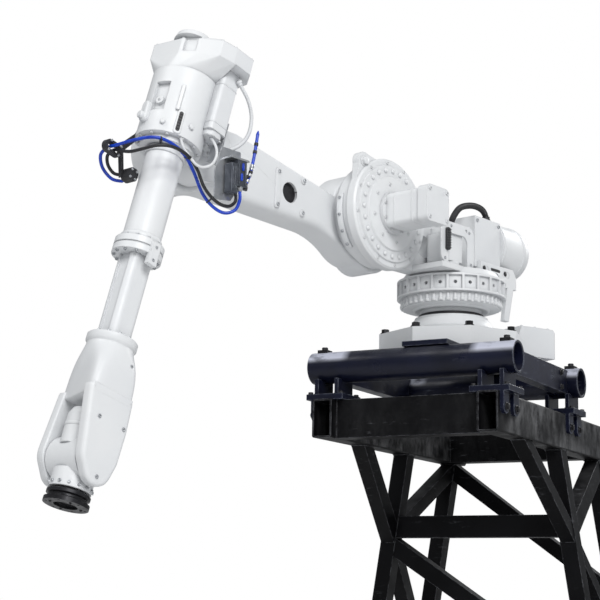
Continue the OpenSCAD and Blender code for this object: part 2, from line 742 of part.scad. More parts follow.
module motor_4() {
  w = motor4_w;
  color(paint) at_upper() difference() {
    translate([0, motor4_y, -motor4_h]) {
      xplate(-house_back - cover_drop, 20) rrect(w, w, 18);
      xplate(20, 46) rrect(w - 12, w - 12, 32);
    }
    xcyl(house_r + seat_gap, -house_back - cover_drop - 1, house_end);
  }
}

module elbow_cover() {
  color(paint) at_elbow() difference() {
    ycyl(elbow_cover_r, elbow_y, elbow_y + 22);
    ycyl(14, elbow_y + 14, elbow_y + 30);
  }
}

module hose_bracket() {
  z = -motor4_h - motor4_w / 2 - seat_gap;
  color("silver") at_upper() {
    translate([-60, motor4_y - 38, z - 8]) cube([188, 76, 8]);
    translate(block_at) rotate([0, block_tilt, 0])
      translate([-8, motor4_y - 38 - block_at[1], -44]) cube([8, 152, 112]);
  }
}

module connector_block() {
  color("dimgray") at_upper() translate(block_at) rotate([0, block_tilt, 0])
    translate([0, -block_w / 2, -28]) cube([block_l, block_w, 56]);
}

module hose_clamp() {
  c = clamp_at;
  c2 = [c[0], c[2]];
  g = gland_at;
  color(steel_black) at_upper() difference() {
    union() {
      yplate(c[1] - 15, c[1] + 15) translate([c[0], c[2]]) difference() {
        rrect(56, 100, 26);
        rrect(32, 76, 15);
      }
      yplate(c[1] - 6, c[1] + 6)
        polygon([[70, 100], [house_end - 4, 100], [c[0] - 6, c[2] - 46], [c[0] - 24, c[2] - 20]]);
      yplate(c[1] + 6, c[1] + 22)
        polygon([c2 + [2, -46], c2 + [20, -34], [g[0] + 23, g[2] + 28], [g[0] + 11, g[2] + 16]]);
      yplate(g[1] - 26, g[1] + 24) translate([g[0], g[2]]) rrect(60, 52, 20);
    }
    xcyl(house_r + seat_gap, 0, house_end);
  }
}

// Hand-set points of the hoses: out of the block, down in a bow, round the tube, through the clamp
// and back into the gland
end_y = gland_at[1] - 26 - seat_gap;
blue_pts = concat([for (x = [seat_gap, 25, 60]) on_block(block_l + x, 13, 0)],
  [[325, 222, -279], [352, 194, -246], [343, 170, -192], [306, 153, -132], [240, 150, -58], [207, 160, 13],
  [196, 164, 88], [197, 148, 158], [208, 110, 198], [217, 52, 215], [222, -10, 222], [223, -70, 222],
  [223, -116, 222], [237, -176, 206], [272, -200, 162], [308, -176, 118]], [for (y = [40, 20, 0]) [322, end_y - y, 101]]);
black_pts = concat([for (x = [seat_gap, 25, 60]) on_block(block_l + x, -13, 0)],
  [[316, 208, -254], [331, 202, -208], [319, 190, -155], [290, 182, -105], [238, 182, -45], [216, 190, 30],
  [222, 188, 112], [243, 160, 172], [262, 106, 198], [268, 40, 208], [248, -30, 203], [226, -80, 195],
  [223, -116, 194], [234, -158, 183], [261, -174, 156], [289, -158, 130]], [for (y = [40, 20, 0]) [300, end_y - y, 119]]);

module blue_hose() { color("royalblue") at_upper() sweep(smooth_path(blue_pts, 2), hose_r, 8); }
module black_cable() { color("black") at_upper() sweep(smooth_path(black_pts, 2), hose_r, 8); }

// Forearm and wrist

module inner_tube() {
  color(paint) at_upper() xcyl(tube1_r, house_end + 24 + joint_gap, forearm_ring);
}

module joint_ring() {
  x = forearm_ring;
  t = joint_ring_t;
  color(paint) at_upper() {
    xturn([[0, x], [flange_r, x], [flange_r, x + t / 2 - 3], [flange_r - 5, x + t / 2 - 3],
      [flange_r - 5, x + t / 2 + 3], [flange_r, x + t / 2 + 3], [flange_r, x + t], [0, x + t]]);
    translate([x + 10, flange_r - 14, -24]) cube([ear_l, 24, 48]);
  }
}

module extension_tube() {
  color(paint) at_upper() xplate(forearm_ring + joint_ring_t, wrist_flange) difference() {
    rrect(2 * tube2_r, 2 * tube2_r, 32);
    for (i = [-1, 1]) translate([0, i * tube2_r]) square([channel_w, 2 * channel_d], center = true);
  }
}

// Body that changes along the forearm from a round flange to the fork's rounded oblong
function soft(v, p) = sign(v) * pow(abs(v), 2 / p);
function blend(a, b, s) = a + (b - a) * s;
function wrist_ring(t, n) =
  let (s = 1 - pow(1 - t, 2.2), p = blend(2, 7, s * s), r = flange_r - 8,
    x = blend(wrist_flange + 40, forearm_l - fork_l, t), w = blend(r, fork_out, s))
  [for (j = [0 : n - 1]) let (a = 360 * (j + 0.5) / n, y = soft(cos(a), p),
    h = blend(r, sin(a) > 0 ? blend(brow_low, brow_h, (1 + y) / 2) : heel_h, s)) [x, w * y, h * soft(sin(a), p)]];
module wrist_housing() {
  n = 40;
  m = 10;
  pts = [for (i = [0 : m]) each wrist_ring(i / m, n)];
  color(paint) at_upper() {
    xcyl(flange_r, wrist_flange, wrist_flange + 41);
    polyhedron(pts, concat([[for (j = [0 : n - 1]) j]], [[for (j = [n - 1 : -1 : 0]) m * n + j]],
      [for (i = [0 : m - 1], j = [0 : n - 1], k = [0, 1]) let (a = i * n + j, b = i * n + (j + 1) % n)
        k == 0 ? [a, a + n, b] : [b, a + n, b + n]]));
  }
}

// Prong outlines in the fifth axis' frame, with a tapered round end; the left one has the higher brow
module prong_outline(brow) {
  big = [-10, 10];
  small = [50, 0];
  polygon([[-fork_l, -heel_h], [-130, -heel_h - 8], [0, -80], [0, 100], [-112, 98 + (brow - 98) * 0.45],
    [-fork_l, brow]]);
  translate(big) rotate(atan2(small[1] - big[1], small[0] - big[0]) - 90) taper_link(96, 70, norm(small - big));
}
module prongs() {
  color(paint) at_wrist() {
    yplate(fork_gap, fork_out) prong_outline(brow_h);
    yplate(-fork_out, -fork_gap) prong_outline(brow_low + 22);
  }
}

module tilt_housing() {
  y = fork_gap - 5;
  color(paint) at_wrist() {
    ycyl(96, -y, y);
    ycyl(64, -fork_gap + seat_gap, fork_gap - seat_gap);
    xcyl(88, 60, tool_l - 62);
    translate([0, 0, 25]) mirror([1, 0, 0])
      xturn([[0, 40], [72, 40], [72, 170], [58, 198], [30, 208], [0, 210]]);
  }
}

module tool_flange() {
  color("#222224") at_wrist() difference() {
    xturn([[0, tool_l - 62 + seat_gap], [tool_r - 20, tool_l - 62 + seat_gap], [tool_r - 4, tool_l - 50],
      [tool_r - 4, tool_l - 38], [tool_r - 14, tool_l - 32], [tool_r - 14, tool_l - 24], [tool_r, tool_l - 18],
      [tool_r, tool_l], [0, tool_l]]);
    xcyl(tool_bore_r, tool_l - tool_bore_l, tool_l + 1);
    for (k = [0 : tool_holes - 1]) rotate([k * 360 / tool_holes, 0, 0]) translate([0, tool_pcd / 2, 0])
      xcyl(tool_hole_r, tool_l - 20, tool_l + 1);
  }
}

sole_plates();
legs();
front_tie();
cantilever_braces();
side_braces();
cross_braces();
side_beams();
cross_beams();
saddles();
deck_tubes();
tube_links();
tube_pads();
deck_plate();
foot_casting();
cable_box();
foot_bolts();
turret_ring();
turret_casting();
gearbox_2();
motor_2();
motor_1();
balancer();
balancer_bracket();
lower_arm();
arm_plug();
motor_3();
arm_housing();
gear_cover();
motor_4();
elbow_cover();
hose_bracket();
connector_block();
hose_clamp();
blue_hose();
black_cable();
inner_tube();
joint_ring();
extension_tube();
wrist_housing();
prongs();
tilt_housing();
tool_flange();
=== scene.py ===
"""Looks of a white six-axis industrial arm on its dark steel stand.

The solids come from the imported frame. This script gives them their finishes, adds the small
fittings as surfaces worked out with numpy, lays the hoses, and sets the light and the camera.
Metres, +Z up, in the frame of the part: the origin is on the floor under the front sole plate.
"""
import json
import math

import bpy
import numpy as np
from mathutils import Matrix, Vector


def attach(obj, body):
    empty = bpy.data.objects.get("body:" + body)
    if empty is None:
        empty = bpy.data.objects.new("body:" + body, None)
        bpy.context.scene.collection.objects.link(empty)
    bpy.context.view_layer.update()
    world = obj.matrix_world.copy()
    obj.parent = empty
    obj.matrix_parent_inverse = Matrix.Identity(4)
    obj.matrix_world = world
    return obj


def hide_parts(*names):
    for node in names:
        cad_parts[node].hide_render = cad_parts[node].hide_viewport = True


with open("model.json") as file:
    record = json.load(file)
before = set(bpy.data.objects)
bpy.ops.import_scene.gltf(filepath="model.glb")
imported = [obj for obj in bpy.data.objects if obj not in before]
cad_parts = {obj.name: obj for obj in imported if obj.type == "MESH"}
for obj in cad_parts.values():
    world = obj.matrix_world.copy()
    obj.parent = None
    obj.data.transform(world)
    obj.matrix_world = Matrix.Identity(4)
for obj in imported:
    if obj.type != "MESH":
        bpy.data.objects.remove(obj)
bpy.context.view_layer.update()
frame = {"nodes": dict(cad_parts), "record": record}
NODES = frame["nodes"]

# Sizes of the part that the fittings are set out from
ROBOT_X, STAND_H = 0.390, 2.100
SWING, FOOT_TURN, LEAN, FOLD = (math.radians(a) for a in (-13.7, -30.0, 87.5, -14.1))
AXIS2_X, AXIS2_Z = 0.600, 0.630
LOWER_LEN, ELBOW_OFF, FOREARM_L = 1.280, 0.200, 1.592


# Frames of the arm's links

def shift(x, y, z):
    """4x4 matrix of a move."""
    return np.array(Matrix.Translation((x, y, z)))


def turn(angle, axis):
    """4x4 matrix of a turn about a named axis."""
    return np.array(Matrix.Rotation(angle, 4, axis))


ROW = np.eye(4)
ROBOT = shift(ROBOT_X, 0, STAND_H)
FOOT = ROBOT @ turn(FOOT_TURN, "Z")
TURRET = ROBOT @ turn(SWING, "Z")
AXIS2 = TURRET @ shift(AXIS2_X, 0, AXIS2_Z)
LOWER = AXIS2 @ turn(LEAN, "Y")
AXIS3 = LOWER @ shift(0, 0, LOWER_LEN)
ELBOW = AXIS3 @ turn(FOLD, "Y")
UPPER = ELBOW @ shift(0, 0, ELBOW_OFF)
WRIST = UPPER @ shift(FOREARM_L, 0, 0)


def place(link, points):
    """Points of a link's own frame carried to the row frame, for an array of any shape."""
    return points @ link[:3, :3].T + link[:3, 3]


# Finishes

def solid(colour):
    """A plain colour with its fourth value; a node's output stays as it is."""
    return colour if isinstance(colour, bpy.types.NodeSocket) else (*colour, 1.0)


class Finish:
    """A material's node tree with short calls for the nodes that the finishes share."""

    def __init__(self, name):
        self.material = bpy.data.materials.new(name)
        self.material.use_nodes = True
        self.tree = self.material.node_tree
        self.shader = self.tree.nodes["Principled BSDF"]
        self.place = self.node("ShaderNodeTexCoord").outputs["Object"]

    def node(self, kind, sockets=None, **settings):
        """New node with its settings, and a number, colour or link for each named socket."""
        made = self.tree.nodes.new(kind)
        for key, value in settings.items():
            setattr(made, key, value)
        for key, value in (sockets or {}).items():
            self.feed(value, made.inputs[key])
        return made

    def normal(self):
        """The face's own normal."""
        return self.node("ShaderNodeNewGeometry").outputs["Normal"]

    def split(self, vector):
        """X, Y and Z of a vector."""
        return self.node("ShaderNodeSeparateXYZ", {"Vector": vector}).outputs

    def feed(self, value, socket):
        """A number or colour goes on the socket itself, an output is linked to it."""
        if isinstance(value, bpy.types.NodeSocket):
            self.tree.links.new(value, socket)
        else:
            socket.default_value = value

    def noise(self, scale, detail=4.0, rough=0.55, stretch=None):
        """Value noise on Object coordinates, stretched along an axis where a lay shows."""
        source = self.place
        if stretch:
            source = self.node("ShaderNodeMapping", {"Scale": stretch, "Vector": source}).outputs["Vector"]
        sockets = {"Scale": scale, "Detail": detail, "Roughness": rough, "Vector": source}
        return self.node("ShaderNodeTexNoise", sockets).outputs["Fac"]

    def band(self, value, low, high, out_low=0.0, out_high=1.0):
        """Linear map of a value between two limits, clamped."""
        sockets = {"Value": value, "From Min": low, "From Max": high, "To Min": out_low, "To Max": out_high}
        return self.node("ShaderNodeMapRange", sockets).outputs["Result"]

    def math(self, operation, a, b=0.0):
        return self.node("ShaderNodeMath", {0: a, 1: b}, operation=operation).outputs["Value"]

    def times(self, a, b):
        return self.math("MULTIPLY", a, b)

    def mix(self, share, a, b):
        """Two colours mixed by a share; a mix node has its colours on sockets 6 and 7 and its result on 2."""
        sockets = {"Factor": share, 6: solid(a), 7: solid(b)}
        return self.node("ShaderNodeMix", sockets, data_type="RGBA").outputs[2]

    def soft_edge(self, radius):
        """Normal that rounds sharp edges over a radius."""
        return self.node("ShaderNodeBevel", {"Radius": radius}, samples=4).outputs["Normal"]

    def edges(self, radius):
        """Mask of the edges: how far the rounded normal leans from the face's own."""
        sockets = {0: self.soft_edge(radius), 1: self.normal()}
        dot = self.node("ShaderNodeVectorMath", sockets, operation="DOT_PRODUCT")
        return self.band(self.math("SUBTRACT", 1.0, dot.outputs["Value"]), 0.02, 0.2)

    def upward(self, low=0.3, high=0.95):
        """Mask of the faces that look up, where dust lies and where the tube ends' painted reflection goes."""
        return self.band(self.split(self.normal())["Z"], low, high)

    def hollows(self, distance):
        """Mask of the corners and crevices within a distance, from ambient occlusion: where shade gathers."""
        made = self.node("ShaderNodeAmbientOcclusion", {"Distance": distance}, samples=6)
        return self.band(made.outputs["AO"], 0.9, 0.35)

    def bump(self, height, strength, distance, normal=None):
        sockets = {"Strength": strength, "Distance": distance, "Height": height}
        if normal is not None:
            sockets["Normal"] = normal
        return self.node("ShaderNodeBump", sockets).outputs["Normal"]

    def surface(self, colour, roughness, normal=None, metallic=0.0, **sockets):
        """Joins the finish to the shader and returns the material."""
        sockets |= {"Base Color": solid(colour), "Roughness": roughness, "Metallic": metallic}
        if normal is not None:
            sockets["Normal"] = normal
        for key, value in sockets.items():
            self.feed(value, self.shader.inputs[key.replace("_", " ")])
        return self.material


def arm_paint(name):
    """Satin white paint on castings: faint cloudiness, painted shade in corners and crevices mixed with grime, rubbed
    edges, cast grain.
    """
    f = Finish(name)
    cloud = f.noise(2.3, 5)
    colour = f.mix(f.band(cloud, 0.3, 0.7), (0.74, 0.755, 0.77), (0.80, 0.81, 0.815))
    # Painted shade mixed with grime: corners and crevices found by ambient occlusion are darkened, broken up by
    # noise.
    crevice_shade_and_grime = f.times(f.hollows(0.06), f.band(f.noise(9, 5), 0.2, 0.8, 0.25, 0.6))
    colour = f.mix(crevice_shade_and_grime, colour, (0.34, 0.35, 0.37))
    rubbed = f.times(f.edges(0.006), f.band(f.noise(28, 6), 0.55, 0.7, 0.0, 0.5))
    colour = f.mix(rubbed, colour, (0.55, 0.56, 0.57))
    specks = f.band(f.noise(160, 2), 0.72, 0.76, 0.0, 0.35)
    colour = f.mix(specks, colour, (0.45, 0.45, 0.44))
    rough = f.band(f.noise(14, 6), 0.3, 0.7, 0.32, 0.5)
    grain = f.bump(f.noise(260, 3), 0.10, 0.0012, f.soft_edge(0.007))
    grain = f.bump(f.noise(5, 2), 0.08, 0.01, grain)
    return f.surface(colour, rough, grain, Specular_IOR_Level=0.45)


def stand_paint(name, dark, sheen, rubbed_and_highlight_tone, dust, gloss, rough_low, end_reflection_and_wear, rubbed_sides):
    """Semi-gloss dark paint on steel: runs of sheen, long scuffs, dust on top faces, edges lightened partly as bare
    metal and partly as painted highlight, tube ends whose upper side beyond the saddles is lightened partly as rubbed
    paint and partly as painted reflection, and blotchy rubbed marks on the beams' outer sides."""
    f = Finish(name)
    colour = f.mix(f.band(f.noise(3.1, 6), 0.35, 0.7), dark, sheen)
    scuff = f.times(f.band(f.noise(11, 8, 0.7, (1, 1, 5)), 0.58, 0.68), f.band(f.noise(1.7, 3), 0.45, 0.6))
    colour = f.mix(f.times(scuff, 0.42), colour, rubbed_and_highlight_tone)
    # Edges lightened towards the rubbed tone: partly bare worn paint, partly painted highlight where the edges catch
    # the light.
    edge_wear_and_highlight = f.times(f.edges(0.007), f.band(f.noise(30, 6), 0.36, 0.58, 0.0, 0.9))
    colour = f.mix(edge_wear_and_highlight, colour, rubbed_and_highlight_tone)
    lying = f.times(f.upward(), f.band(f.noise(6, 7, 0.65), 0.35, 0.75, 0.0, dust))
    colour = f.mix(lying, colour, (0.30, 0.30, 0.31))
    parts, facing = f.split(f.place), f.split(f.normal())
    if rubbed_sides:
        marks = f.band(f.noise(8, 9, 0.75, (1.5, 1.5, 0.8)), 0.38, 0.60)
        marks = f.times(marks, f.band(f.noise(3.4, 5, 0.6), 0.36, 0.58, 0.15, 1.0))
        sides = f.band(f.math("ABSOLUTE", facing["Y"]), 0.9, 0.97)
        sides = f.times(sides, f.band(parts["X"], 1.0, 0.78))
        sides = f.math("MAXIMUM", sides, f.band(f.math("ABSOLUTE", facing["X"]), 0.9, 0.97, 0.0, 0.08))
        sides = f.times(sides, f.band(parts["Z"], 1.570, 1.585, 0.0, rubbed_sides))
        colour = f.mix(f.times(sides, marks), colour, (0.13, 0.131, 0.135))
    if end_reflection_and_wear:
        # Painted reflection mixed with rubbed paint: the upward faces of the tube ends beyond the saddles are
        # lightened to a pale blue.
        ends = f.band(f.math("ABSOLUTE", parts["Y"]), 0.33, 0.38)
        ends = f.times(ends, f.band(parts["Z"], 1.975, 2.0))
        ends = f.times(ends, f.band(f.noise(11, 6, 0.6, (1, 0.5, 1)), 0.34, 0.52, 0.0, end_reflection_and_wear))
        colour = f.mix(f.times(ends, f.upward(0.1, 0.5)), colour, (0.56, 0.58, 0.68))
    rough = f.math("ADD", f.band(f.noise(8, 7), 0.3, 0.7, rough_low, rough_low + 0.2), f.times(scuff, 0.2))
    normal = f.bump(f.noise(190, 4), 0.12, 0.001, f.soft_edge(0.004))
    normal = f.bump(f.noise(3, 2), 0.10, 0.012, normal)
    return f.surface(colour, rough, normal, Specular_IOR_Level=gloss)


def fitting_metal(name, tone, light, rough_low, rough_high, metallic):
    """Machined or blackened metal: fine lay, brighter edges, small stains."""
    f, radius = Finish(name), 0.002
    colour = f.mix(f.band(f.noise(24, 6), 0.3, 0.7), tone, light)
    bright = f.times(f.edges(radius), f.band(f.noise(60, 4), 0.35, 0.6, 0.0, 0.7))
    colour = f.mix(bright, colour, tuple(min(1, 3 * c + 0.06) for c in light))
    rough = f.band(f.noise(45, 6), 0.3, 0.7, rough_low, rough_high)
    normal = f.bump(f.noise(420, 3), 0.15, 0.0006, f.soft_edge(radius))
    return f.surface(colour, rough, normal, metallic)


def hose_skin(name, tone, light, rough_low, rough_high):
    """Moulded skin of a hose or cable: slight mottling, dusty rubbed places, fine grain."""
    f = Finish(name)
    colour = f.mix(f.band(f.noise(18, 5), 0.3, 0.72), tone, light)
    colour = f.mix(f.band(f.noise(70, 5), 0.62, 0.75, 0.0, 0.3), colour, tuple(min(1, 1.7 * c + 0.05) for c in light))
    rough = f.band(f.noise(40, 5), 0.3, 0.7, rough_low, rough_high)
    return f.surface(colour, rough, f.bump(f.noise(300, 3), 0.12, 0.0006))


FINISH = {name: kind(name, *rest) for kind, name, *rest in (
    (arm_paint, "arm_paint"),
    (stand_paint, "stand_black", (0.0025, 0.0025, 0.003), (0.006, 0.006, 0.007), (0.17, 0.175, 0.19),
     0.18, 0.10, 0.36, 0.0, 0.9),
    (stand_paint, "deck_navy", (0.003, 0.004, 0.012), (0.007, 0.009, 0.026), (0.20, 0.22, 0.27),
     0.2, 0.28, 0.24, 0.9, 0.0),
    (fitting_metal, "black_fasteners", (0.014, 0.014, 0.016), (0.035, 0.035, 0.038), 0.32, 0.5, 0.7),
    (hose_skin, "dark_plastic", (0.012, 0.012, 0.014), (0.03, 0.03, 0.033), 0.4, 0.6),
    (fitting_metal, "bracket_grey", (0.42, 0.44, 0.46), (0.58, 0.59, 0.61), 0.3, 0.48, 0.8),
    (fitting_metal, "block_grey", (0.055, 0.062, 0.078), (0.10, 0.11, 0.13), 0.3, 0.5, 0.5),
    (hose_skin, "hose_blue", (0.004, 0.035, 0.42), (0.008, 0.07, 0.62), 0.22, 0.4),
    (hose_skin, "cable_black", (0.010, 0.010, 0.012), (0.024, 0.024, 0.027), 0.35, 0.55),
    (fitting_metal, "flange_black", (0.014, 0.014, 0.016), (0.03, 0.03, 0.034), 0.28, 0.45, 0.6))}
SLOT_OF = {row["node"]: row["material_slot"] for row in frame["record"]["subparts"]}
for node_name, node_object in NODES.items():
    node_object.data.materials.clear()
    node_object.data.materials.append(FINISH[SLOT_OF[node_name]])


# Surfaces. A shape is a pair: an array of points, and a list of arrays of corner numbers,
# one for each kind of face.

def quads(rows, columns, closed=False):
    """Corner numbers of the four-sided faces between closed rings of points, and from the last ring
    back to the first where the grid closes on itself."""
    i, j = np.meshgrid(np.arange(rows - (not closed)), np.arange(columns), indexing="ij")
    far_i, far_j = (i + 1) % rows, (j + 1) % columns
    corners = [i * columns + j, i * columns + far_j, far_i * columns + far_j, far_i * columns + j]
    return np.stack(corners, -1).reshape(-1, 4)


def caps(rows, columns):
    """Corner numbers of the two flat ends of a grid of closed rings."""
    j = np.arange(columns)
    return [j[::-1][None], ((rows - 1) * columns + j)[None]]


def unit(vectors):
    """Vectors brought to the length one."""
    return vectors / np.linalg.norm(vectors, axis=-1, keepdims=True)


def run_of(path):
    """Length of a path from its start to each of its points."""
    return np.concatenate([[0], np.cumsum(np.linalg.norm(np.diff(path, axis=0), axis=1))])


def joined(*shapes):
    """Several shapes as one: points one after the other, corner numbers moved up by the points before."""
    starts = np.cumsum([0] + [len(points) for points, _ in shapes[:-1]])
    faces = [rows + start for (_, kinds), start in zip(shapes, starts) for rows in kinds]
    return np.concatenate([points for points, _ in shapes]), faces


def repeated(shape, links):
    """One shape set at many frames at once: every point times every frame's turn, plus the frame's place."""
    points, faces = shape
    links = np.asarray(links)
    moved = np.einsum("kij,pj->kpi", links[:, :3, :3], points) + links[:, None, :3, 3]
    steps = np.arange(len(links))[:, None, None] * len(points)
    return moved.reshape(-1, 3), [(rows[None] + steps).reshape(-1, rows.shape[1]) for rows in faces]


def turned(profile, sides):
    """Body of revolution about Z: a profile of (radius, height) in millimetres. Each point r, z off the axis
    gives a ring (r cos a, r sin a, z), and the two ends close as fans at the first and last heights."""
    profile = np.asarray(profile, float) / 1000
    angle = np.arange(sides) * 2 * np.pi / sides
    r, z = profile[profile[:, 0] > 0].T[..., None]
    rings = np.stack([r * np.cos(angle), r * np.sin(angle), z + 0 * angle], -1).reshape(-1, 3)
    rows, j = len(r), np.arange(sides)
    far_j, end = (j + 1) % sides, np.full(sides, rows * sides)
    first = np.column_stack([end, far_j, j])
    final = np.column_stack([end + 1, (rows - 1) * sides + j, (rows - 1) * sides + far_j])
    axis = np.array([[0, 0, profile[0, 1]], [0, 0, profile[-1, 1]]])
    return np.concatenate([rings, axis]), [quads(rows, sides), first, final]


def carried(profile, path, across, closed=False):
    """Closed outline (u, v) carried along a path: at each point the outline lies square to the path,
    u along the direction 'across' made square to the path and v along path x u. Open ends are capped."""
    path, profile = np.asarray(path, float), np.asarray(profile, float)
    if closed:
        along = np.roll(path, -1, 0) - np.roll(path, 1, 0)
    else:
        along = np.gradient(path, axis=0)
    along = unit(along)
    u = unit(across - along * np.sum(across * along, 1, keepdims=True))
    v = np.cross(along, u)
    scaled = profile if profile.ndim == 3 else np.broadcast_to(profile, (len(path), *profile.shape))
    points = path[:, None] + scaled[..., :1] * u[:, None] + scaled[..., 1:] * v[:, None]
    rows, columns = points.shape[:2]
    ends = [] if closed else caps(rows, columns)
    return points.reshape(-1, 3), [quads(rows, columns, closed), *ends]


def circle(radius, sides):
    """Round outline, radius in metres."""
    angle = np.arange(sides) * 2 * np.pi / sides
    return radius * np.column_stack([np.cos(angle), np.sin(angle)])


def rounded(width, height, corner, steps=6):
    """Rectangle with round corners, in metres: four quarter circles one after the other."""
    quarter = np.linspace(0, np.pi / 2, steps)
    angle = (quarter + np.arange(4)[:, None] * np.pi / 2).ravel()
    middle = np.repeat([[1, 1], [-1, 1], [-1, -1], [1, -1]], steps, 0) * [width / 2 - corner, height / 2 - corner]
    return middle + corner * np.column_stack([np.cos(angle), np.sin(angle)])


def evenly(outline, count):
    """The same closed outline with its points at even steps of length."""
    loop = np.concatenate([outline, outline[:1]])
    length = run_of(loop)
    at = np.arange(count) * length[-1] / count
    return np.column_stack([np.interp(at, length, loop[:, 0]), np.interp(at, length, loop[:, 1])])


def hull_of(circles, count):
    """Outline round several circles (x, y, r): in each direction n the circle that reaches furthest,
    x n + r, gives the point x + r n. The points are then spread evenly."""
    angle = np.linspace(0, 2 * np.pi, 2880, endpoint=False)
    way = np.column_stack([np.cos(angle), np.sin(angle)])
    circles = np.asarray(circles, float)
    best = np.argmax(way @ circles[:, :2].T + circles[:, 2], 1)
    return evenly(circles[best, :2] + circles[best, 2:] * way, count)


def outward(outline):
    """Unit directions that point out of a closed outline that runs anticlockwise."""
    along = np.roll(outline, -1, 0) - np.roll(outline, 1, 0)
    return unit(np.column_stack([along[:, 1], -along[:, 0]]))


def slab(outline, low, high, edge_low, edge_high, hole=None, steps=5):
    """Plate with round edges: the outline at heights along Z; near a face it is drawn in by e(1 - sin t)
    at the height e(1 - cos t) from that face, and one more ring a little further in keeps the face flat.
    An edge may be one number or one for each outline point. With a hole (an outline of as many points),
    each face is two halves between the outlines, and the hole gets its wall."""
    out, count = outward(outline), len(outline)
    t = np.linspace(0, np.pi / 2, steps)[:, None]
    edge_low, edge_high = (np.broadcast_to(e, count) for e in (edge_low, edge_high))
    inner_low, inner_high = (1.12 * e[None] + 0.0004 for e in (edge_low, edge_high))
    inset = np.concatenate([inner_low, edge_low * (1 - np.sin(t)), (edge_high * (1 - np.sin(t)))[::-1], inner_high])
    flat_low, flat_high = np.full((1, count), low), np.full((1, count), high)
    rise = 1 - np.cos(t)
    height = np.concatenate([flat_low, low + edge_low * rise, (high - edge_high * rise)[::-1], flat_high])
    flat = outline[None] - inset[..., None] * out[None]
    rings = np.concatenate([flat, height[..., None]], -1)
    rows = len(rings)
    if hole is None:
        return rings.reshape(-1, 3), [quads(rows, count), *caps(rows, count)]
    lift = np.ones((count, 1))
    wall = np.stack([np.hstack([hole, high * lift]), np.hstack([hole, low * lift])])
    points = np.concatenate([rings, wall]).reshape(-1, 3)
    level = np.abs(outline[:, 1] - hole[:, 1].mean())
    right = outline[:, 0] > hole[:, 0].mean()
    a, b = np.argmin(np.where(right, level, 9)), np.argmin(np.where(right, 9, level))
    spans = [np.arange(i, j + 1 + count * (j < i)) % count for i, j in ((a, b), (b, a))]
    tops = [np.concatenate([(rows - 1) * count + span, rows * count + span[::-1]])[None] for span in spans]
    bottoms = [np.concatenate([span, (rows + 1) * count + span[::-1]])[None, ::-1] for span in spans]
    return points, [quads(rows, count), rows * count + quads(2, count), *tops, *bottoms]


def plate(size, low, high, edge_low, edge_high, steps=6):
    """Slab over a rectangle with round corners: its width, height and corner, then as for a slab,
    all in millimetres."""
    outline = rounded(*np.array(size) / 1000, steps)
    return slab(outline, *np.array([low, high, edge_low, edge_high]) / 1000)


def added(name, data):
    """New object at the origin, linked to the scene."""
    made = bpy.data.objects.new(name, data)
    bpy.context.scene.collection.objects.link(made)
    return made


# Edges sharper than this angle, in degrees, stay sharp
CREASE = 38


def piece(name, shape, slot, body, *nodes):
    """Puts a shape into a mesh at the origin, gives it a finish and lets it ride on a body."""
    points, faces = shape
    data = bpy.data.meshes.new(name)
    data.from_pydata(points.tolist(), [], [row for rows in faces for row in rows.tolist()])
    data.polygons.foreach_set("use_smooth", np.ones(len(data.polygons), bool))
    data.set_sharp_from_angle(angle=math.radians(CREASE))
    data.materials.append(FINISH[slot])
    made = added(name, data)
    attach(made, body)
    if nodes:
        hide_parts(*nodes)


# Places

# Directions of a link's frame, and the signs of four corners
AHEAD, FACE_OUT, UP = np.eye(3)
BACK, FACE_BACK, DOWN = -np.eye(3)
CORNERS = [(i, j) for i in (-1, 1) for j in (-1, 1)]


def seat(link, at_mm, axis):
    """Frame of a fitting: Z along a direction of the link's frame, foot at a point in millimetres,
    X as level as can be."""
    z = unit(np.asarray(axis, float))
    x = unit(np.cross(FACE_OUT if abs(z[1]) < 0.9 else UP, z))
    made = np.eye(4)
    made[:3, :3] = np.column_stack([x, np.cross(z, x), z])
    made[:3, 3] = np.asarray(at_mm, float) / 1000
    return link @ made


def ring_seats(link, middle, axis, radius, count, start=0.0, radial=False):
    """Frames on a circle round an axis, all along the axis, or each pointing out from it."""
    base = seat(np.eye(4), middle, axis)
    angle = start + np.arange(count) * 2 * np.pi / count
    out = np.cos(angle)[:, None] * base[:3, 0] + np.sin(angle)[:, None] * base[:3, 1]
    at = np.asarray(middle, float) + radius * out
    return [seat(link, p, o if radial else axis) for p, o in zip(at, out)]


def set_out(shape, link, places_mm, axis):
    """One shape at many places of a link's frame, all along one direction."""
    return repeated(shape, [seat(link, at, axis) for at in places_mm])


def ringed(shape, *ring):
    """One shape at the frames of a ring."""
    return repeated(shape, ring_seats(*ring))


# Fasteners and small fittings, in millimetres

def cap_screw(r, h):
    """Socket-head screw: a straight head with a broken edge and a hollow down to half its height."""
    return turned([(r, -2), (r, 0.8 * h), (0.86 * r, h), (0.58 * r, h), (0.52 * r, 0.45 * h)], 12)


def hex_bolt(r, h):
    """Six-sided head with a broken top edge on a round washer."""
    washer = turned([(1.3 * r, -1), (1.3 * r, 0.16 * h), (1.22 * r, 0.22 * h)], 18)
    head = turned([(r, 0.2 * h), (r, 0.9 * h), (0.86 * r, h)], 6)
    return joined(washer, head)


def low_screw(r, h):
    """Flat round head with a shallow socket."""
    return turned([(r, -1.5), (r, 0.55 * h), (0.8 * r, h), (0.42 * r, h), (0.36 * r, 0.3 * h)], 10)


def dome_head(r, h):
    """Round head with a domed top, its drive filled with paint."""
    return turned([(r, -2), (r, 0.55 * h), (0.86 * r, 0.8 * h), (0.5 * r, 0.97 * h), (0, h)], 14)


# Hoses

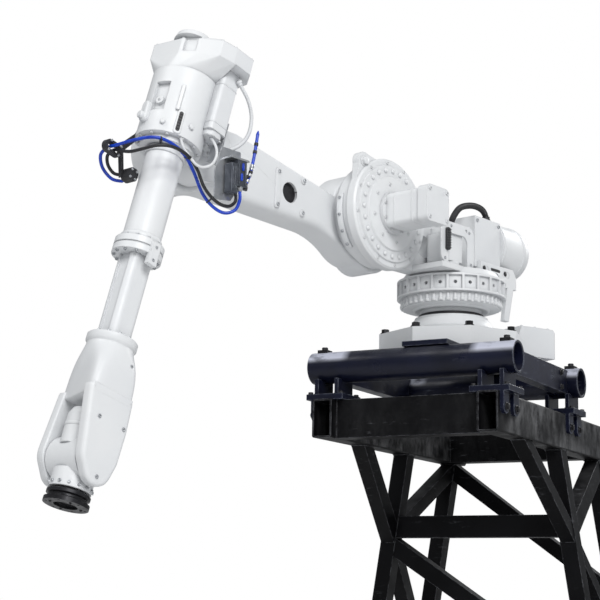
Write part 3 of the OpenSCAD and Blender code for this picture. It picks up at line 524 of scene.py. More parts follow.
def smooth_line(points, steps):
    """Catmull-Rom curve through given points: each stretch is a cubic whose slope at a point
    is half the step from the point before to the point after, worked out for all stretches at once."""
    p = np.asarray(points, float)
    ext = np.concatenate([p[:1], p, p[-1:]])
    a, b, c, d = ext[:-3, None], ext[1:-2, None], ext[2:-1, None], ext[3:, None]
    t = (np.arange(steps) / steps)[None, :, None]
    line = b + 0.5 * t * ((c - a) + t * ((2 * a - 5 * b + 4 * c - d) + t * (3 * (b - c) + d - a)))
    return np.concatenate([line.reshape(-1, 3), p[-1:]])


def hose(name, points_mm, radius, slot, body, node):
    """Round hose along a smooth line, as one open spline with a round section."""
    line = place(UPPER, smooth_line(np.asarray(points_mm) / 1000, 8))
    data = bpy.data.curves.new(name, "CURVE")
    data.dimensions = "3D"
    data.bevel_depth = radius
    data.bevel_resolution = 4
    data.use_fill_caps = True
    spline = data.splines.new("POLY")
    spline.points.add(len(line) - 1)
    spline.points.foreach_set("co", np.column_stack([line, np.ones(len(line))]).ravel())
    made = added(name, data)
    data.materials.append(FINISH[slot])
    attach(made, body)
    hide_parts(node)


BLOCK_AT, BLOCK_TILT, BLOCK_L = np.array([107, 225, -226.0]), math.pi / 2 - LEAN - FOLD, 120


def out_of_block(y):
    """First three points of a hose, straight out of the connector block's lower face."""
    x = BLOCK_L + np.array([0.3, 25, 60])
    return BLOCK_AT + np.column_stack([x * math.cos(BLOCK_TILT), y + 0 * x, -x * math.sin(BLOCK_TILT)])


END_Y = -86.3
BLUE_POINTS = np.concatenate([out_of_block(13), [
    [325, 222, -279], [352, 194, -246], [343, 170, -192], [306, 153, -132], [240, 150, -58], [207, 160, 13],
    [196, 164, 88], [197, 148, 158], [208, 110, 198], [217, 52, 215], [222, -10, 222], [223, -70, 222],
    [223, -116, 222], [237, -176, 206], [272, -200, 162], [308, -176, 118],
    [322, END_Y - 40, 101], [322, END_Y - 20, 101], [322, END_Y, 101]]])
BLACK_POINTS = np.concatenate([out_of_block(-13), [
    [316, 208, -254], [331, 202, -208], [319, 190, -155], [290, 182, -105], [238, 182, -45], [216, 190, 30],
    [222, 188, 112], [243, 160, 172], [262, 106, 198], [268, 40, 208], [248, -30, 203], [226, -80, 195],
    [223, -116, 194], [234, -158, 183], [261, -174, 156], [289, -158, 130],
    [300, END_Y - 40, 119], [300, END_Y - 20, 119], [300, END_Y, 119]]])
HOSE_R = 0.0075
hose("blue_air_hose", BLUE_POINTS, HOSE_R, "hose_blue", "upper_arm", "blue_hose")
hose("black_signal_cable", BLACK_POINTS, HOSE_R, "cable_black", "upper_arm", "black_cable")


# Plates of a link's XZ plane, their thickness along -Y, and plates of its YZ plane, their thickness along X
SIDE_ON = np.array([[1.0, 0, 0, 0], [0, 0, -1, 0], [0, 1, 0, 0], [0, 0, 0, 1]])
END_ON = np.array([[0.0, 0, 1, 0], [1, 0, 0, 0], [0, 1, 0, 0], [0, 0, 0, 1]])


def ease(value, low, high):
    """Smooth step: 0 below the lower limit, 1 above the upper one, 3t^2 - 2t^3 between."""
    t = np.clip((value - low) / (high - low), 0, 1)
    return t * t * (3 - 2 * t)


# Lower arm

ELBOW_L = 1000 * LOWER_LEN
HUB_R, LOBE_R, ELBOW_R, WEB_ROOT, WEB_UP, WEB_RUN, WEB_DOWN = 240, 165, 186, 34, 190, 950, 130
HUB_FILLET, ELBOW_FILLET, LOBE_X, LOBE_L = 450, 300, 0.62 * LOBE_R, -0.5 * LOBE_R
ARM_Y, ARM_T, ARM_MIDDLE, ARM_HALF, HOLE_L, HOLE_R = -132, 170, 609.25, 856.6, 565, 52
ARM_BACK = ARM_Y - ARM_T
HOLE_X = (WEB_DOWN - WEB_ROOT - (WEB_UP - WEB_ROOT) * HOLE_L / WEB_RUN) / 2


def arc_reach(along, middle_x, middle_l, radius, sign):
    """x of a circle at places along the arm, middle + sign * sqrt(r^2 - d^2), and nothing beyond its reach."""
    under = radius ** 2 - (along - middle_l) ** 2
    return np.where(under >= 0, middle_x + sign * np.sqrt(np.maximum(under, 0)), -np.inf)


def hub_reach(along, lobe_x):
    """How far the arm's edge lies from the joint line at its ends: the furthest of the two hubs and the lobe."""
    reach = np.maximum(arc_reach(along, 0, 0, HUB_R, 1), arc_reach(along, 0, ELBOW_L, ELBOW_R, 1))
    return np.maximum(reach, arc_reach(along, lobe_x, LOBE_L, LOBE_R, 1))


def lower_edge(along):
    """Lower edge: the hubs, the straight web and the two hollow arcs that run from the hubs into the web."""
    web = np.where((along >= 0) & (along <= ELBOW_L), WEB_DOWN, -np.inf)
    reach = np.maximum(hub_reach(along, LOBE_X), web)
    for at, hub, fillet, way in ((0, HUB_R, HUB_FILLET, 1), (ELBOW_L, ELBOW_R, ELBOW_FILLET, -1)):
        far = math.sqrt((hub + fillet) ** 2 - (WEB_DOWN + fillet) ** 2)
        step = (along - at) * way
        arc = arc_reach(along, WEB_DOWN + fillet, at + way * far, fillet, -1)
        reach = np.maximum(reach, np.where((step > far * hub / (hub + fillet)) & (step < far), arc, -np.inf))
    return reach


def upper_edge(along):
    """Upper edge: the hubs and the web's sloped line, which rises from the second axis and then runs level
    to the elbow."""
    line = np.interp(along, [0, WEB_RUN, ELBOW_L], [WEB_ROOT, WEB_UP, ELBOW_R - 2])
    web = np.where((along >= 0) & (along <= ELBOW_L), line, -np.inf)
    return np.maximum(hub_reach(along, -LOBE_X), web)


def arm_outline(count):
    """The cast arm's side outline: along its lower edge and back along its upper edge."""
    along = ARM_MIDDLE - ARM_HALF * np.cos(np.linspace(0, np.pi, 900))
    lower = np.column_stack([lower_edge(along), along])
    upper = np.column_stack([-upper_edge(along), along])
    return evenly(np.concatenate([lower, upper[::-1]]) / 1000, count)


def cast_arm():
    """Arm slab whose lower front edge is a broad round, 44 mm along the web and 14 mm at the hubs."""
    outline = arm_outline(480)
    on_web = ease(outline[:, 1], 0.16, 0.34) * ease(-outline[:, 1], -1.16, -1.0)
    broad = ease(outward(outline)[:, 0], 0.35, 0.9) * on_web
    middle = np.array([HOLE_X, HOLE_L]) / 1000
    hole = middle + HOLE_R / 1000 * unit(outline - middle)
    return slab(outline, -ARM_Y / 1000, (ARM_T - ARM_Y) / 1000, 0.014 + 0.030 * broad, 0.014, hole, 7)


LOWER_SIDE = LOWER @ SIDE_ON
arm_boss = turned([(17, -4), (17, 6), (15, 8)], 28)
BOSS_X, BOSS_L, BOSS_H, BACK_CAP_H, HUB_CAP_H = 84, 92, 8, 12, 16
boss_seats = [seat(LOWER, (HOLE_X + i * BOSS_X, ARM_Y, HOLE_L + j * BOSS_L), FACE_OUT) for i, j in CORNERS]
boss_strip = plate((2 * BOSS_X + 36, 36, 17), -2, 7, 0.5, 3.5, 8)
hub_disc = turned([(228, -6), (228, 40), (224, 44), (150, 44), (150, 49.5)], 96)
hub_cap = turned([(172, -4), (172, 10), (166, HUB_CAP_H), (128, HUB_CAP_H), (122, 22), (60, 22), (54, 18)], 72)
back_cap = turned([(74, -4), (74, 8), (68, BACK_CAP_H)], 48)
lower_arm_shape = joined(
    repeated(cast_arm(), [LOWER_SIDE]),
    set_out(hub_disc, LOWER, [(0, ARM_Y, 0)], FACE_OUT),
    repeated(arm_boss, boss_seats),
    set_out(boss_strip, LOWER, [(HOLE_X, ARM_Y, HOLE_L + BOSS_L)], FACE_OUT),
    set_out(hub_cap, LOWER, [(0, ARM_BACK, 0)], FACE_BACK),
    set_out(back_cap, LOWER, [(HOLE_X, ARM_BACK, HOLE_L)], FACE_BACK))
piece("cast_lower_arm", lower_arm_shape, "arm_paint", "lower_arm_body", "lower_arm")
piece("lower_arm_screws", joined(
    repeated(cap_screw(9, 7), [frame_at @ shift(0, 0, BOSS_H / 1000) for frame_at in boss_seats]),
    ringed(cap_screw(11, 10), LOWER, (0, ARM_BACK - HUB_CAP_H, 0), FACE_BACK, 147, 16),
    ringed(cap_screw(7, 7), LOWER, (HOLE_X, ARM_BACK - BACK_CAP_H, HOLE_L), FACE_BACK, 58, 6),
    set_out(hex_bolt(15, 14), AXIS3, [(i * 58, ARM_BACK - 62, j * 62) for i, j in CORNERS], FACE_BACK)),
    "bracket_grey", "lower_arm_body")
lobe_slot = plate((40, 96, 19.5), 0, 3, 0.5, 1, 10)
lobe_slot_at = (LOBE_X + 0.6 * LOBE_R, ARM_Y, LOBE_L + 0.26 * LOBE_R)
# Painted shade: a dark dish set just inside the arm's through hole, so that the hole reads black.
hole_shade_dish = turned([(HOLE_R - 0.5, -34), (HOLE_R - 0.5, -14), (HOLE_R - 4, -12), (HOLE_R - 9, -24), (0, -25)], 56)
piece("lower_arm_plug_and_hole_shade", joined(
    set_out(lobe_slot, LOWER, [lobe_slot_at], FACE_OUT),
    set_out(hole_shade_dish, LOWER, [(HOLE_X, ARM_Y, HOLE_L)], FACE_OUT)), "dark_plastic", "lower_arm_body")


# Wrist

FLANGE_R, WRIST_FLANGE, FORK_L, FORK_GAP, FORK_OUT = 109, 1058, 245, 101, 151
BROW_H, BROW_LOW, HEEL_H = 150, 62, 82


def wrist_surface(t, angle):
    """Body between the round flange and the fork: a superellipse |y/w|^p + |h/b|^p = 1 whose power runs from 2 to 7
    while its half width and its height above and below the axis run from the flange's radius to the fork's own."""
    s = 1 - (1 - t) ** 2.2
    power = 2 / (2 + 5 * s * s)
    r = FLANGE_R - 8
    c, d = np.cos(angle), np.sin(angle)
    y = np.sign(c) * np.abs(c) ** power
    top = BROW_LOW + (BROW_H - BROW_LOW) * (1 + y) / 2
    height = r + (np.where(d > 0, top, HEEL_H) - r) * s
    start = WRIST_FLANGE + 40
    along = start + (1000 * FOREARM_L - FORK_L - start) * t
    side = (r + (FORK_OUT - r) * s) * y
    return np.stack([along + 0 * angle, side, height * np.sign(d) * np.abs(d) ** power], -1)


def wrist_body():
    """Grid of the wrist surface over its length and its angle, with its last rings drawn in to a round rim."""
    sides, rows = 112, 34
    angle = (np.arange(sides) + 0.5) * 2 * np.pi / sides
    points = wrist_surface(np.linspace(0, 1, rows)[:, None], angle[None])
    rim = np.linspace(0, np.pi / 2, 5)[1:, None, None]
    last = points[-1][None]
    middle = np.array([0, 0, 30.0])
    drawn = last * [1, 0, 0] + middle + (last * [0, 1, 1] - middle) * (1 - 0.05 * (1 - np.cos(rim)))
    points = np.concatenate([points, drawn + np.array([1, 0, 0]) * 7 * np.sin(rim)]) / 1000
    return points.reshape(-1, 3), [quads(len(points), sides), *caps(len(points), sides)]


def prong(brow, y_low, y_high, edge_low, edge_high):
    """Fork prong: the outline round a heel, a brow and two end circles, with round edges that fade out
    at the rear, where the prong runs into the wrist body."""
    circles = [(-257, -HEEL_H + 14, 14), (-257, brow - 16, 16), (-130, -76, 14),
               (-118, 76 + 0.4 * (brow - 98), 22), (-10, 10, 96), (50, 0, 70)]
    outline = hull_of(np.array(circles) / 1000, 260)
    fade = 1 - 0.96 * ease(-outward(outline)[:, 0], 0.80, 0.98)
    return slab(outline, y_low / 1000, y_high / 1000, edge_low * fade, edge_high * fade, None, 6)


flange_disc = turned([(FLANGE_R - 4, 0), (FLANGE_R, 4), (FLANGE_R, 30), (FLANGE_R - 3, 34),
                      (FLANGE_R - 8, 41), (0, 44)], 80)
WRIST_SIDE = WRIST @ SIDE_ON
OUTER_EDGE, INNER_EDGE = 0.018, 0.006
piece("wrist_fork", joined(
    repeated(wrist_body(), [UPPER]),
    set_out(flange_disc, UPPER, [(WRIST_FLANGE, 0, 0)], AHEAD),
    repeated(prong(BROW_H, -FORK_OUT, -FORK_GAP, OUTER_EDGE, INNER_EDGE), [WRIST_SIDE]),
    repeated(prong(BROW_LOW + 22, FORK_GAP, FORK_OUT, INNER_EDGE, OUTER_EDGE), [WRIST_SIDE])),
    "arm_paint", "forearm", "wrist_housing", "prongs")
SHOULDER_L, TILT_MOTOR_H, TILT_FACE, TILT_BAND, TILT_END, TOOL_FACE = 1180, 25, 122, -120, -191, 199
shoulder_seats = [seat(UPPER, (SHOULDER_L, y, h), way) for y, h, way in (
    (121, 48, (0, 0.92, 0.3)), (128, -33, (0, 0.97, -0.2)),
    (-121, 38, (0, -0.92, 0.3)), (-128, -33, (0, -0.97, -0.2)))]
prong_seats = [seat(WRIST, (x, side * FORK_OUT, h), (0, side, 0))
               for side in (1, -1) for x, h in ((-149, 72), (-143, -62), (84, 5))]
piece("wrist_screws", joined(
    repeated(low_screw(8, 5), shoulder_seats),
    repeated(low_screw(9, 5), prong_seats),
    ringed(cap_screw(7, 8), UPPER, (WRIST_FLANGE, 0, 0), BACK, 92, 12, 0.13)), "bracket_grey", "forearm")
tilt_ring = turned([(73, -4), (74.5, -2), (74.5, 10), (73, 12)], 56)
piece("tilt_motor_band", set_out(tilt_ring, WRIST, [(TILT_BAND, 0, TILT_MOTOR_H)], BACK), "arm_paint", "tilt")
piece("tilt_screws", joined(
    ringed(cap_screw(6.5, 7), WRIST, (TILT_FACE, 0, 0), AHEAD, 88, 14, 0.1, True),
    ringed(low_screw(6, 4), WRIST, (TILT_END, 0, TILT_MOTOR_H), BACK, 60, 4, 0.7)), "bracket_grey", "tilt")
piece("flange_pins", ringed(cap_screw(6, 4), WRIST, (TOOL_FACE, 0, 0), AHEAD, 66, 4, 0.4),
      "black_fasteners", "tool")


# Forearm

COLLAR_LOW, COLLAR_HIGH, JOINT_LOW, JOINT_HIGH, JOINT_SIDE = 154, 606, 608, 674, 119
piece("forearm_screws", joined(
    ringed(cap_screw(7, 8), UPPER, (JOINT_HIGH, 0, 0), AHEAD, 96, 12, 0.2),
    ringed(cap_screw(7, 8), UPPER, (JOINT_LOW, 0, 0), BACK, 97, 12, 0.2),
    set_out(low_screw(7, 4), UPPER, [(x, JOINT_SIDE, 0) for x in (640, 700)], FACE_OUT)), "bracket_grey", "forearm")
forearm_collar = turned([(90, 0), (92, 3), (92, 21), (89, 26)], 72)
collar_seats = [seat(UPPER, (COLLAR_LOW, 0, 0), AHEAD), seat(UPPER, (COLLAR_HIGH, 0, 0), BACK)]
piece("forearm_collars", repeated(forearm_collar, collar_seats), "arm_paint", "forearm")


# Upper arm

def house_seat(angle_deg, along, height=150):
    """Frame on the round housing: Z out from the forearm's axis at an angle from the top towards the left side."""
    a = math.radians(angle_deg)
    out = np.array([0, math.sin(a), math.cos(a)])
    made = np.eye(4)
    made[:3, :3] = np.column_stack([AHEAD, np.cross(out, AHEAD), out])
    made[:3, 3] = (np.array([along, 0, 0]) + height * out) / 1000
    return UPPER @ made


COVER_RIM = np.array([[90, -205], [180, -196], [250, -142], [246, -40], [226, 32], [143, 86], [52, 126],
                      [-118, 140], [-118, -100]], float)
RIM_MIDDLE, RIM_FACE, MOTOR4_Y, MOTOR4_H = np.array([45, -20]), -368, 137, -103
rim_screw_seats = [seat(UPPER, (RIM_FACE, *(RIM_MIDDLE + 0.945 * (p - RIM_MIDDLE))), BACK) for p in COVER_RIM]

# The flange has no screws on the side where the lower arm passes it
FLANGE_FACE, FLANGE_CLEAR = 122, -0.100
flange_ring = ring_seats(UPPER, (FLANGE_FACE, 0, 0), AHEAD, 137, 12, 0.26)
flange_seats = [at for at in flange_ring if (at[:3, 3] - UPPER[:3, 3]) @ UPPER[:3, 1] > FLANGE_CLEAR]
piece("upper_arm_screws", joined(
    repeated(cap_screw(7, 7), rim_screw_seats),
    set_out(low_screw(7, 5), UPPER, [(46, MOTOR4_Y + i * 33, MOTOR4_H + j * 33) for i, j in CORNERS], AHEAD),
    ringed(low_screw(6, 4), ELBOW, (0, 32, 0), FACE_OUT, 36, 6),
    repeated(cap_screw(8, 8), flange_seats),
    repeated(low_screw(7, 5), [house_seat(14, -40, 143)])), "arm_paint", "upper_arm")
knob_foot = plate((104, 46, 22.5), -6, 20, 1, 8, 8)
knob_pin = turned([(18, 10), (18, 30), (14, 36)], 26)
knob = joined(knob_foot, repeated(knob_pin, [shift(0.026, 0, 0)]))
socket_seat = house_seat(60, 60)
socket_rim = plate((118, 34, 12), -10, 6, 1, 3)
side_boss = turned([(12, -20), (12, 9), (9, 12)], 22)
piece("housing_fittings", joined(
    repeated(knob, [house_seat(-6, 22)]), repeated(socket_rim, [socket_seat]),
    repeated(side_boss, [house_seat(34, 78), house_seat(82, 60)])), "arm_paint", "upper_arm")
socket_body = plate((96, 18, 8), 0, 9, 0.5, 2)
socket_rib = plate((7, 15, 2), 8, 12, 0.3, 1, 4)
slot_ribs = joined(socket_body, repeated(socket_rib, [shift(x, 0, 0) for x in np.linspace(-0.036, 0.036, 6)]))
piece("housing_socket", repeated(slot_ribs, [socket_seat]), "dark_plastic", "upper_arm")

# Motor of the fourth axis: cap seams, and stiff conduits from the gear cover and the motor's end
motor_seam = plate((103.5, 103.5, 19), 0, 7, 1.5, 1.5)
seam_seats = [UPPER @ shift(x, MOTOR4_Y / 1000, MOTOR4_H / 1000) @ END_ON for x in (-0.215, -0.020)]
piece("motor_4_bands", repeated(motor_seam, seam_seats), "arm_paint", "upper_arm")


def ribbed_conduit(points_mm, link, radius, ribs):
    """Round conduit along a smooth line, its radius rippled by a sine of the run to give the ribs."""
    line = smooth_line(np.asarray(points_mm, float) / 1000, 16)
    run = run_of(line)
    fine = np.linspace(0, run[-1], ribs * 4)
    line = np.column_stack([np.interp(fine, run, line[:, k]) for k in range(3)])
    swell = 1 + 0.09 * np.sin(np.arange(ribs * 4) * np.pi / 2)
    return repeated(carried(circle(radius, 12)[None] * swell[:, None, None], line, FACE_OUT), [link])


CONDUIT = [(-268, 196, -128), (-249, 200, -146), (-205, 206, -205), (-141, 206, -250), (-60, 206, -258),
           (10, 203, -232), (62, 190, -190), (76, 170, -169)]
LOOP = [(44, 152, -96), (64, 172, -98), (98, 196, -106), (140, 207, -112), (190, 208, -100), (226, 206, -64),
        (236, 202, -26), (218, 190, 8), (178, 160, 34), (124, 130, 44)]
gland = turned([(15, -4), (15, 6), (11, 9), (11, 18)], 20)
gland_seats = [seat(UPPER, (-262, 197, -134), (0.7, 0.1, -0.7)), seat(UPPER, (78, 166, -166), (-0.5, 0.7, -0.6))]
piece("white_conduit", joined(
    ribbed_conduit(CONDUIT, UPPER, 0.0085, 60), ribbed_conduit(LOOP, UPPER, 0.0065, 70),
    repeated(gland, gland_seats)), "arm_paint", "upper_arm")
BLOCK = UPPER @ shift(*(BLOCK_AT / 1000)) @ turn(BLOCK_TILT, "Y")
hex_nut = turned([(12, -1), (13, 1), (13, 11), (11, 13), (11, 15), (9.4, 21)], 6)
piece("block_fittings", joined(
    set_out(hex_nut, BLOCK, [(BLOCK_L, y, 0) for y in (13, -13)], AHEAD),
    set_out(hex_bolt(8, 9), BLOCK, [(-8, y, z) for y in (-108, -70) for z in (-30, 50)], BACK)),
    "bracket_grey", "upper_arm")

# Moulded hood on the block's side, ribs on the faces towards the left, and two blue patches that are painted glints
HOOD_LOW, HOOD_HIGH = 28.3, 66
FRONT = np.array([[1.0, 0, 0, 0], [0, 0, 1, 0], [0, -1, 0, 0], [0, 0, 0, 1]])
hood_outline = hull_of([(26, -18, 6), (148, -12, 10), (148, 16, 10), (26, 20, 6)], 120) / 1000
hood = slab(hood_outline, HOOD_LOW / 1000, HOOD_HIGH / 1000, 0.001, 0.007)
hood_rib = plate((104, 9, 3.5), -1, 3.5, 0.4, 1.2, 5)
# Painted glint: a small blue patch that stands in for a blue highlight on the block.
lens = plate((34, 12, 5.5), -1, 5, 0.5, 2)


def on_front(x, y, z):
    """Frame on a face of the block that looks to the left, at a place in millimetres."""
    return BLOCK @ shift(x / 1000, y / 1000, z / 1000) @ FRONT


rib_seats = [on_front(60, 25, z) for z in (-20, 20)] + [on_front(88, 26, z) for z in (38, 52)]
piece("block_hood", joined(repeated(hood, [BLOCK]), repeated(hood_rib, rib_seats)), "block_grey", "upper_arm")
piece("block_glint_patches", repeated(lens, [on_front(30, 25, -4), on_front(78, 25, 4)]), "hose_blue", "upper_arm")
leaf_corners = [(-50, -34, 5), (108, -30, 5), (176, 22, 5), (186, 112, 5), (62, 116, 5), (-50, 78, 5)]
leaf = slab(hull_of(leaf_corners, 160) / 1000, 0.0252, 0.0292, 0.0005, 0.0005)
piece("bracket_leaf", repeated(leaf, [BLOCK @ FRONT @ turn(math.pi, "X")]), "bracket_grey", "upper_arm")

# Stiff air line clipped to the block's side, its lower end in a boot and its upper end stopped by a pointed plug
RISER = [(119, 8, -36), (100, 10, -40), (70, 13, -51), (36, 15, -63), (0, 15, -73), (-33, 15, -81),
         (-90, 15, -92), (-149, 15, -102)]
riser_line = smooth_line(RISER, 8)


def along_riser(*shares):
    """Frames on the air line at shares of its points, Z along it and upwards."""
    at = [int(share * (len(riser_line) - 3)) + 1 for share in shares]
    return [seat(BLOCK, riser_line[i], riser_line[i + 1] - riser_line[i - 1]) for i in at]


riser_tube = carried(circle(HOSE_R, 14), riser_line / 1000, FACE_OUT)
riser_band = turned([(9.4, -7), (9.8, -6), (9.8, 6), (9.4, 7)], 18)
riser_plug = turned([(8, -4), (8, 3), (4.5, 14), (2, 20), (0, 21)], 16)
riser_boot = turned([(12, -8), (12, 6), (9.5, 12), (9.5, 18)], 18)
clip = plate((12, 24, 3), -1, 11, 0.5, 1, 4)
clip_places = [(100, 10, -28), (64, 13, -28), (64, 13, -38)]
piece("air_riser", joined(repeated(riser_tube, [BLOCK]), repeated(riser_plug, along_riser(1.0))),
      "hose_blue", "upper_arm")
piece("riser_bands", joined(
    repeated(riser_band, along_riser(0.42, 0.80, 0.90)), repeated(riser_boot, along_riser(0.0)),
    set_out(clip, BLOCK, clip_places, DOWN)), "dark_plastic", "upper_arm")
piece("riser_sleeves", repeated(riser_band, along_riser(0.12, 0.24, 0.36, 0.49, 0.54)), "bracket_grey", "upper_arm")
clamp_places = [(223 + i * 22, -85, 208 + j * 28) for i, j in CORNERS]
clamp_places += [(311 + i * 18, -36, 110 + j * 14) for i, j in CORNERS]
piece("clamp_screws", set_out(cap_screw(6, 6), UPPER, clamp_places, FACE_OUT), "bracket_grey", "upper_arm")


# Turret

RING_Y, RIM_Y, COVER_Y, MOUNT_Y, MOTOR2_END = 64, 56, 72, 94, 361
piece("gearbox_bolts", joined(
    ringed(dome_head(12, 11), AXIS2, (0, RING_Y, 0), FACE_OUT, 226, 24),
    ringed(low_screw(9, 6), AXIS2, (0, RIM_Y, 0), FACE_OUT, 268, 12, 0.13),
    ringed(low_screw(9, 6), AXIS2, (0, COVER_Y, 0), FACE_OUT, 152, 8, 0.2),
    set_out(hex_bolt(22, 20), AXIS2, [(200, 40, 240)], FACE_OUT),
    set_out(cap_screw(9, 9), AXIS2, [(i * 70, MOTOR2_END, j * 73) for i, j in CORNERS], FACE_OUT),
    ringed(cap_screw(8, 8), AXIS2, (0, MOUNT_Y, 0), FACE_OUT, 101, 8, 0.39)), "arm_paint", "turret")
seam_band = plate((171.5, 179.5, 27), 0, 8, 1.5, 1.5, 8)
band_seats = [AXIS2 @ SIDE_ON @ shift(0, 0, -y) for y in (0.150, 0.262)]
piece("motor_2_trim", repeated(seam_band, band_seats), "arm_paint", "turret")


def arc_bar(r, y0, y1, start, stop, thick):
    """Bar bent round the second axis: an oblong section carried along an arc."""
    angle = np.radians(np.linspace(start, stop, 40))
    path = np.column_stack([r * np.cos(angle), np.full(40, (y0 + y1) / 2), r * np.sin(angle)]) / 1000
    return carried(rounded((y1 - y0) / 1000, thick / 1000, 0.003, 3), path, FACE_OUT)


STOP_R, STOP_Y, STUD_R, STUD_Z, STUDS = 276, -58, 267, 228, 44
stop_ways = [(math.cos(a), math.sin(a)) for a in np.radians([10, -8, -26, -41])]
stop_seats = [seat(AXIS2, (STOP_R * c, STOP_Y, STOP_R * s), (c, 0, s)) for c, s in stop_ways]
piece("stop_strip", repeated(arc_bar(271, -76, -40, 15, -46, 12), [AXIS2]), "arm_paint", "turret")
piece("stop_screws", repeated(cap_screw(8, 8), stop_seats), "bracket_grey", "turret")
stud = turned([(12, 0), (13, 2), (13, 14), (10, 16), (10, 40)], 12)
stud_places = [(STUD_R * math.cos(a), STUD_R * math.sin(a), STUD_Z) for a in np.arange(STUDS) * 2 * math.pi / STUDS]
piece("turret_studs", set_out(stud, TURRET, stud_places, UP), "arm_paint", "turret")

# Bracket beside the balancer: its two large holes are closed by plates with dark plugs, its slot by a dark strip
BRACKET_Y, HOLE_Z, SLOT_X = 155, 452, -200
hole_plate = plate((55.8, 33.8, 15.8), -15, -1, 0.5, 0.5, 8)
plate_places = [(x, BRACKET_Y, HOLE_Z) for x in (-105, -305)]
piece("bracket_plates", set_out(hole_plate, TURRET, plate_places, FACE_OUT), "arm_paint", "turret")
bracket_plug = turned([(13, -4), (13, 2), (10, 4), (0, 5)], 22)
slot_strip = plate((89.8, 15.8, 6.8), -15, -1, 0.5, 0.5)
piece("bracket_plugs", joined(
    set_out(bracket_plug, TURRET, [(x, BRACKET_Y, HOLE_Z + 3) for x in (-93, -293)], FACE_OUT),
    set_out(slot_strip, TURRET, [(SLOT_X, BRACKET_Y, HOLE_Z + 8)], FACE_OUT)), "dark_plastic", "turret")

# Dark seal in the groove between the foot's neck and the turret ring
neck_seal = turned([(173, 171), (176, 173), (176, 188), (173, 190)], 96)
piece("neck_seal", repeated(neck_seal, [TURRET]), "dark_plastic", "turret")

# First axis' motor, a dark ribbed plate on the guard that is painted shade, and the stiff conduit over to the
# balancer
MOTOR1_X, MOTOR1_Y, MOTOR1_TOP, GUARD_Y, GUARD_Z, BAL_Z, BAL_END = 192, 97, 618, 186, 412, 618, -568
# Painted shade: a dark ribbed plate standing proud on the guard where its recesses lie in shade.
shade_plate_body = plate((28, 120, 8), 0, 16, 0.5, 3)
shade_plate_rib = plate((31, 8, 3), 2, 19, 0.5, 1, 4)
ribbed_shade_plate = joined(shade_plate_body, repeated(shade_plate_rib, [shift(0, z, 0) for z in np.linspace(-0.048, 0.048, 8)]))
SHADE_PLATE_TURN = np.array([[-1.0, 0, 0, 0], [0, 0, 1, 0], [0, 1, 0, 0], [0, 0, 0, 1]])
piece("guard_shade_plate", repeated(ribbed_shade_plate, [TURRET @ shift(0.290, GUARD_Y / 1000, 0.540) @ SHADE_PLATE_TURN]),
      "dark_plastic", "turret")
motor_1_places = [(MOTOR1_X + i * 48, MOTOR1_Y + j * 48, MOTOR1_TOP) for i, j in CORNERS]
guard_places = [(MOTOR1_X + x, GUARD_Y, GUARD_Z + z) for x, z in ((-115, 24), (115, 24), (-100, 196), (60, 206))]
piece("turret_screws", joined(
    set_out(cap_screw(8, 8), TURRET, motor_1_places, UP),
    set_out(low_screw(8, 5), TURRET, guard_places, FACE_OUT),
    ringed(cap_screw(9, 9), TURRET, (BAL_END, 0, BAL_Z), BACK, 100, 8),
    set_out(cap_screw(9, 9), TURRET, [(x, 130, 722) for x in (-262, -60)], FACE_OUT),
    set_out(hex_bolt(12, 11), TURRET, [(x, BRACKET_Y, 432) for x in (-150, -100, -210)], FACE_OUT)),
    "bracket_grey", "turret")
ARCH = [(150, 100, 616), (142, 100, 660), (108, 100, 720), (48, 100, 775), (-53, 100, 806), (-136, 100, 806),
        (-178, 100, 782), (-188, 100, 744)]
arch_gland = turned([(25, -2), (25, 8), (21, 10), (21, 24)], 20)
piece("arched_conduit", joined(
    ribbed_conduit(ARCH, TURRET, 0.0165, 56),
    set_out(arch_gland, TURRET, [(150, 100, 618), (-188, 100, 745)], UP)), "dark_plastic", "turret")
bal_band = turned([(158.5, -7), (161.5, -5), (161.5, 5), (158.5, 7)], 80)
piece("balancer_bands", set_out(bal_band, TURRET, [(x, 0, BAL_Z) for x in (-300, -486)], BACK), "arm_paint", "turret")


# Foot

FOOT_FLAT = 400 * math.cos(math.radians(22.5))
BOX_MIDDLE, BOX_END, BOX_TOP = -FOOT_FLAT - 145, -FOOT_FLAT - 270, 165
lid = plate((214, 206, 12), 0, 5, 1, 2)
box_plug = turned([(26, -3), (26, 8), (20, 11), (20, 22), (17, 25)], 28)
lid_places = [(BOX_MIDDLE + x, y, BOX_TOP + 5) for x in (-94, 0, 94) for y in (-90, 90)]
piece("cable_box_trim", repeated(lid, [FOOT @ shift(BOX_MIDDLE / 1000, 0, BOX_TOP / 1000)]), "arm_paint", "stand")
piece("cable_box_plugs", set_out(box_plug, FOOT, [(BOX_END, y, 78) for y in (-66, 0, 66)], BACK),
      "dark_plastic", "stand")
piece("cable_box_screws", set_out(low_screw(7, 5), FOOT, lid_places, UP), "bracket_grey", "stand")


# Stand: welds and bolts

ROBOT_MM, TUBE_X, BEAM_Y = 1000 * ROBOT_X, 500, 455
BEAM_Z, BEAM_TOP, SADDLE_Z, TUBE_Z = 1580.7, 1780.7, 1810.7, 1959.7
GUSSET_Y, GUSSET_T, LEG_HALF, BEAM_INSIDE, WELD_R = 57.75, 11, 45, 400, 0.006
TUBE_R, TUBE_END, STUD_Y, LINK_X, LINK_END, LUG_Y = 83, 570.5, 500, 330, 510.2, 77.3
SADDLES = [(ROBOT_MM + i * TUBE_X, j * BEAM_Y, j) for i, j in CORNERS]
LEGS = [(x, y, i) for x in (0, -690) for y in (BEAM_Y, -BEAM_Y) for i in (-LEG_HALF, LEG_HALF)]


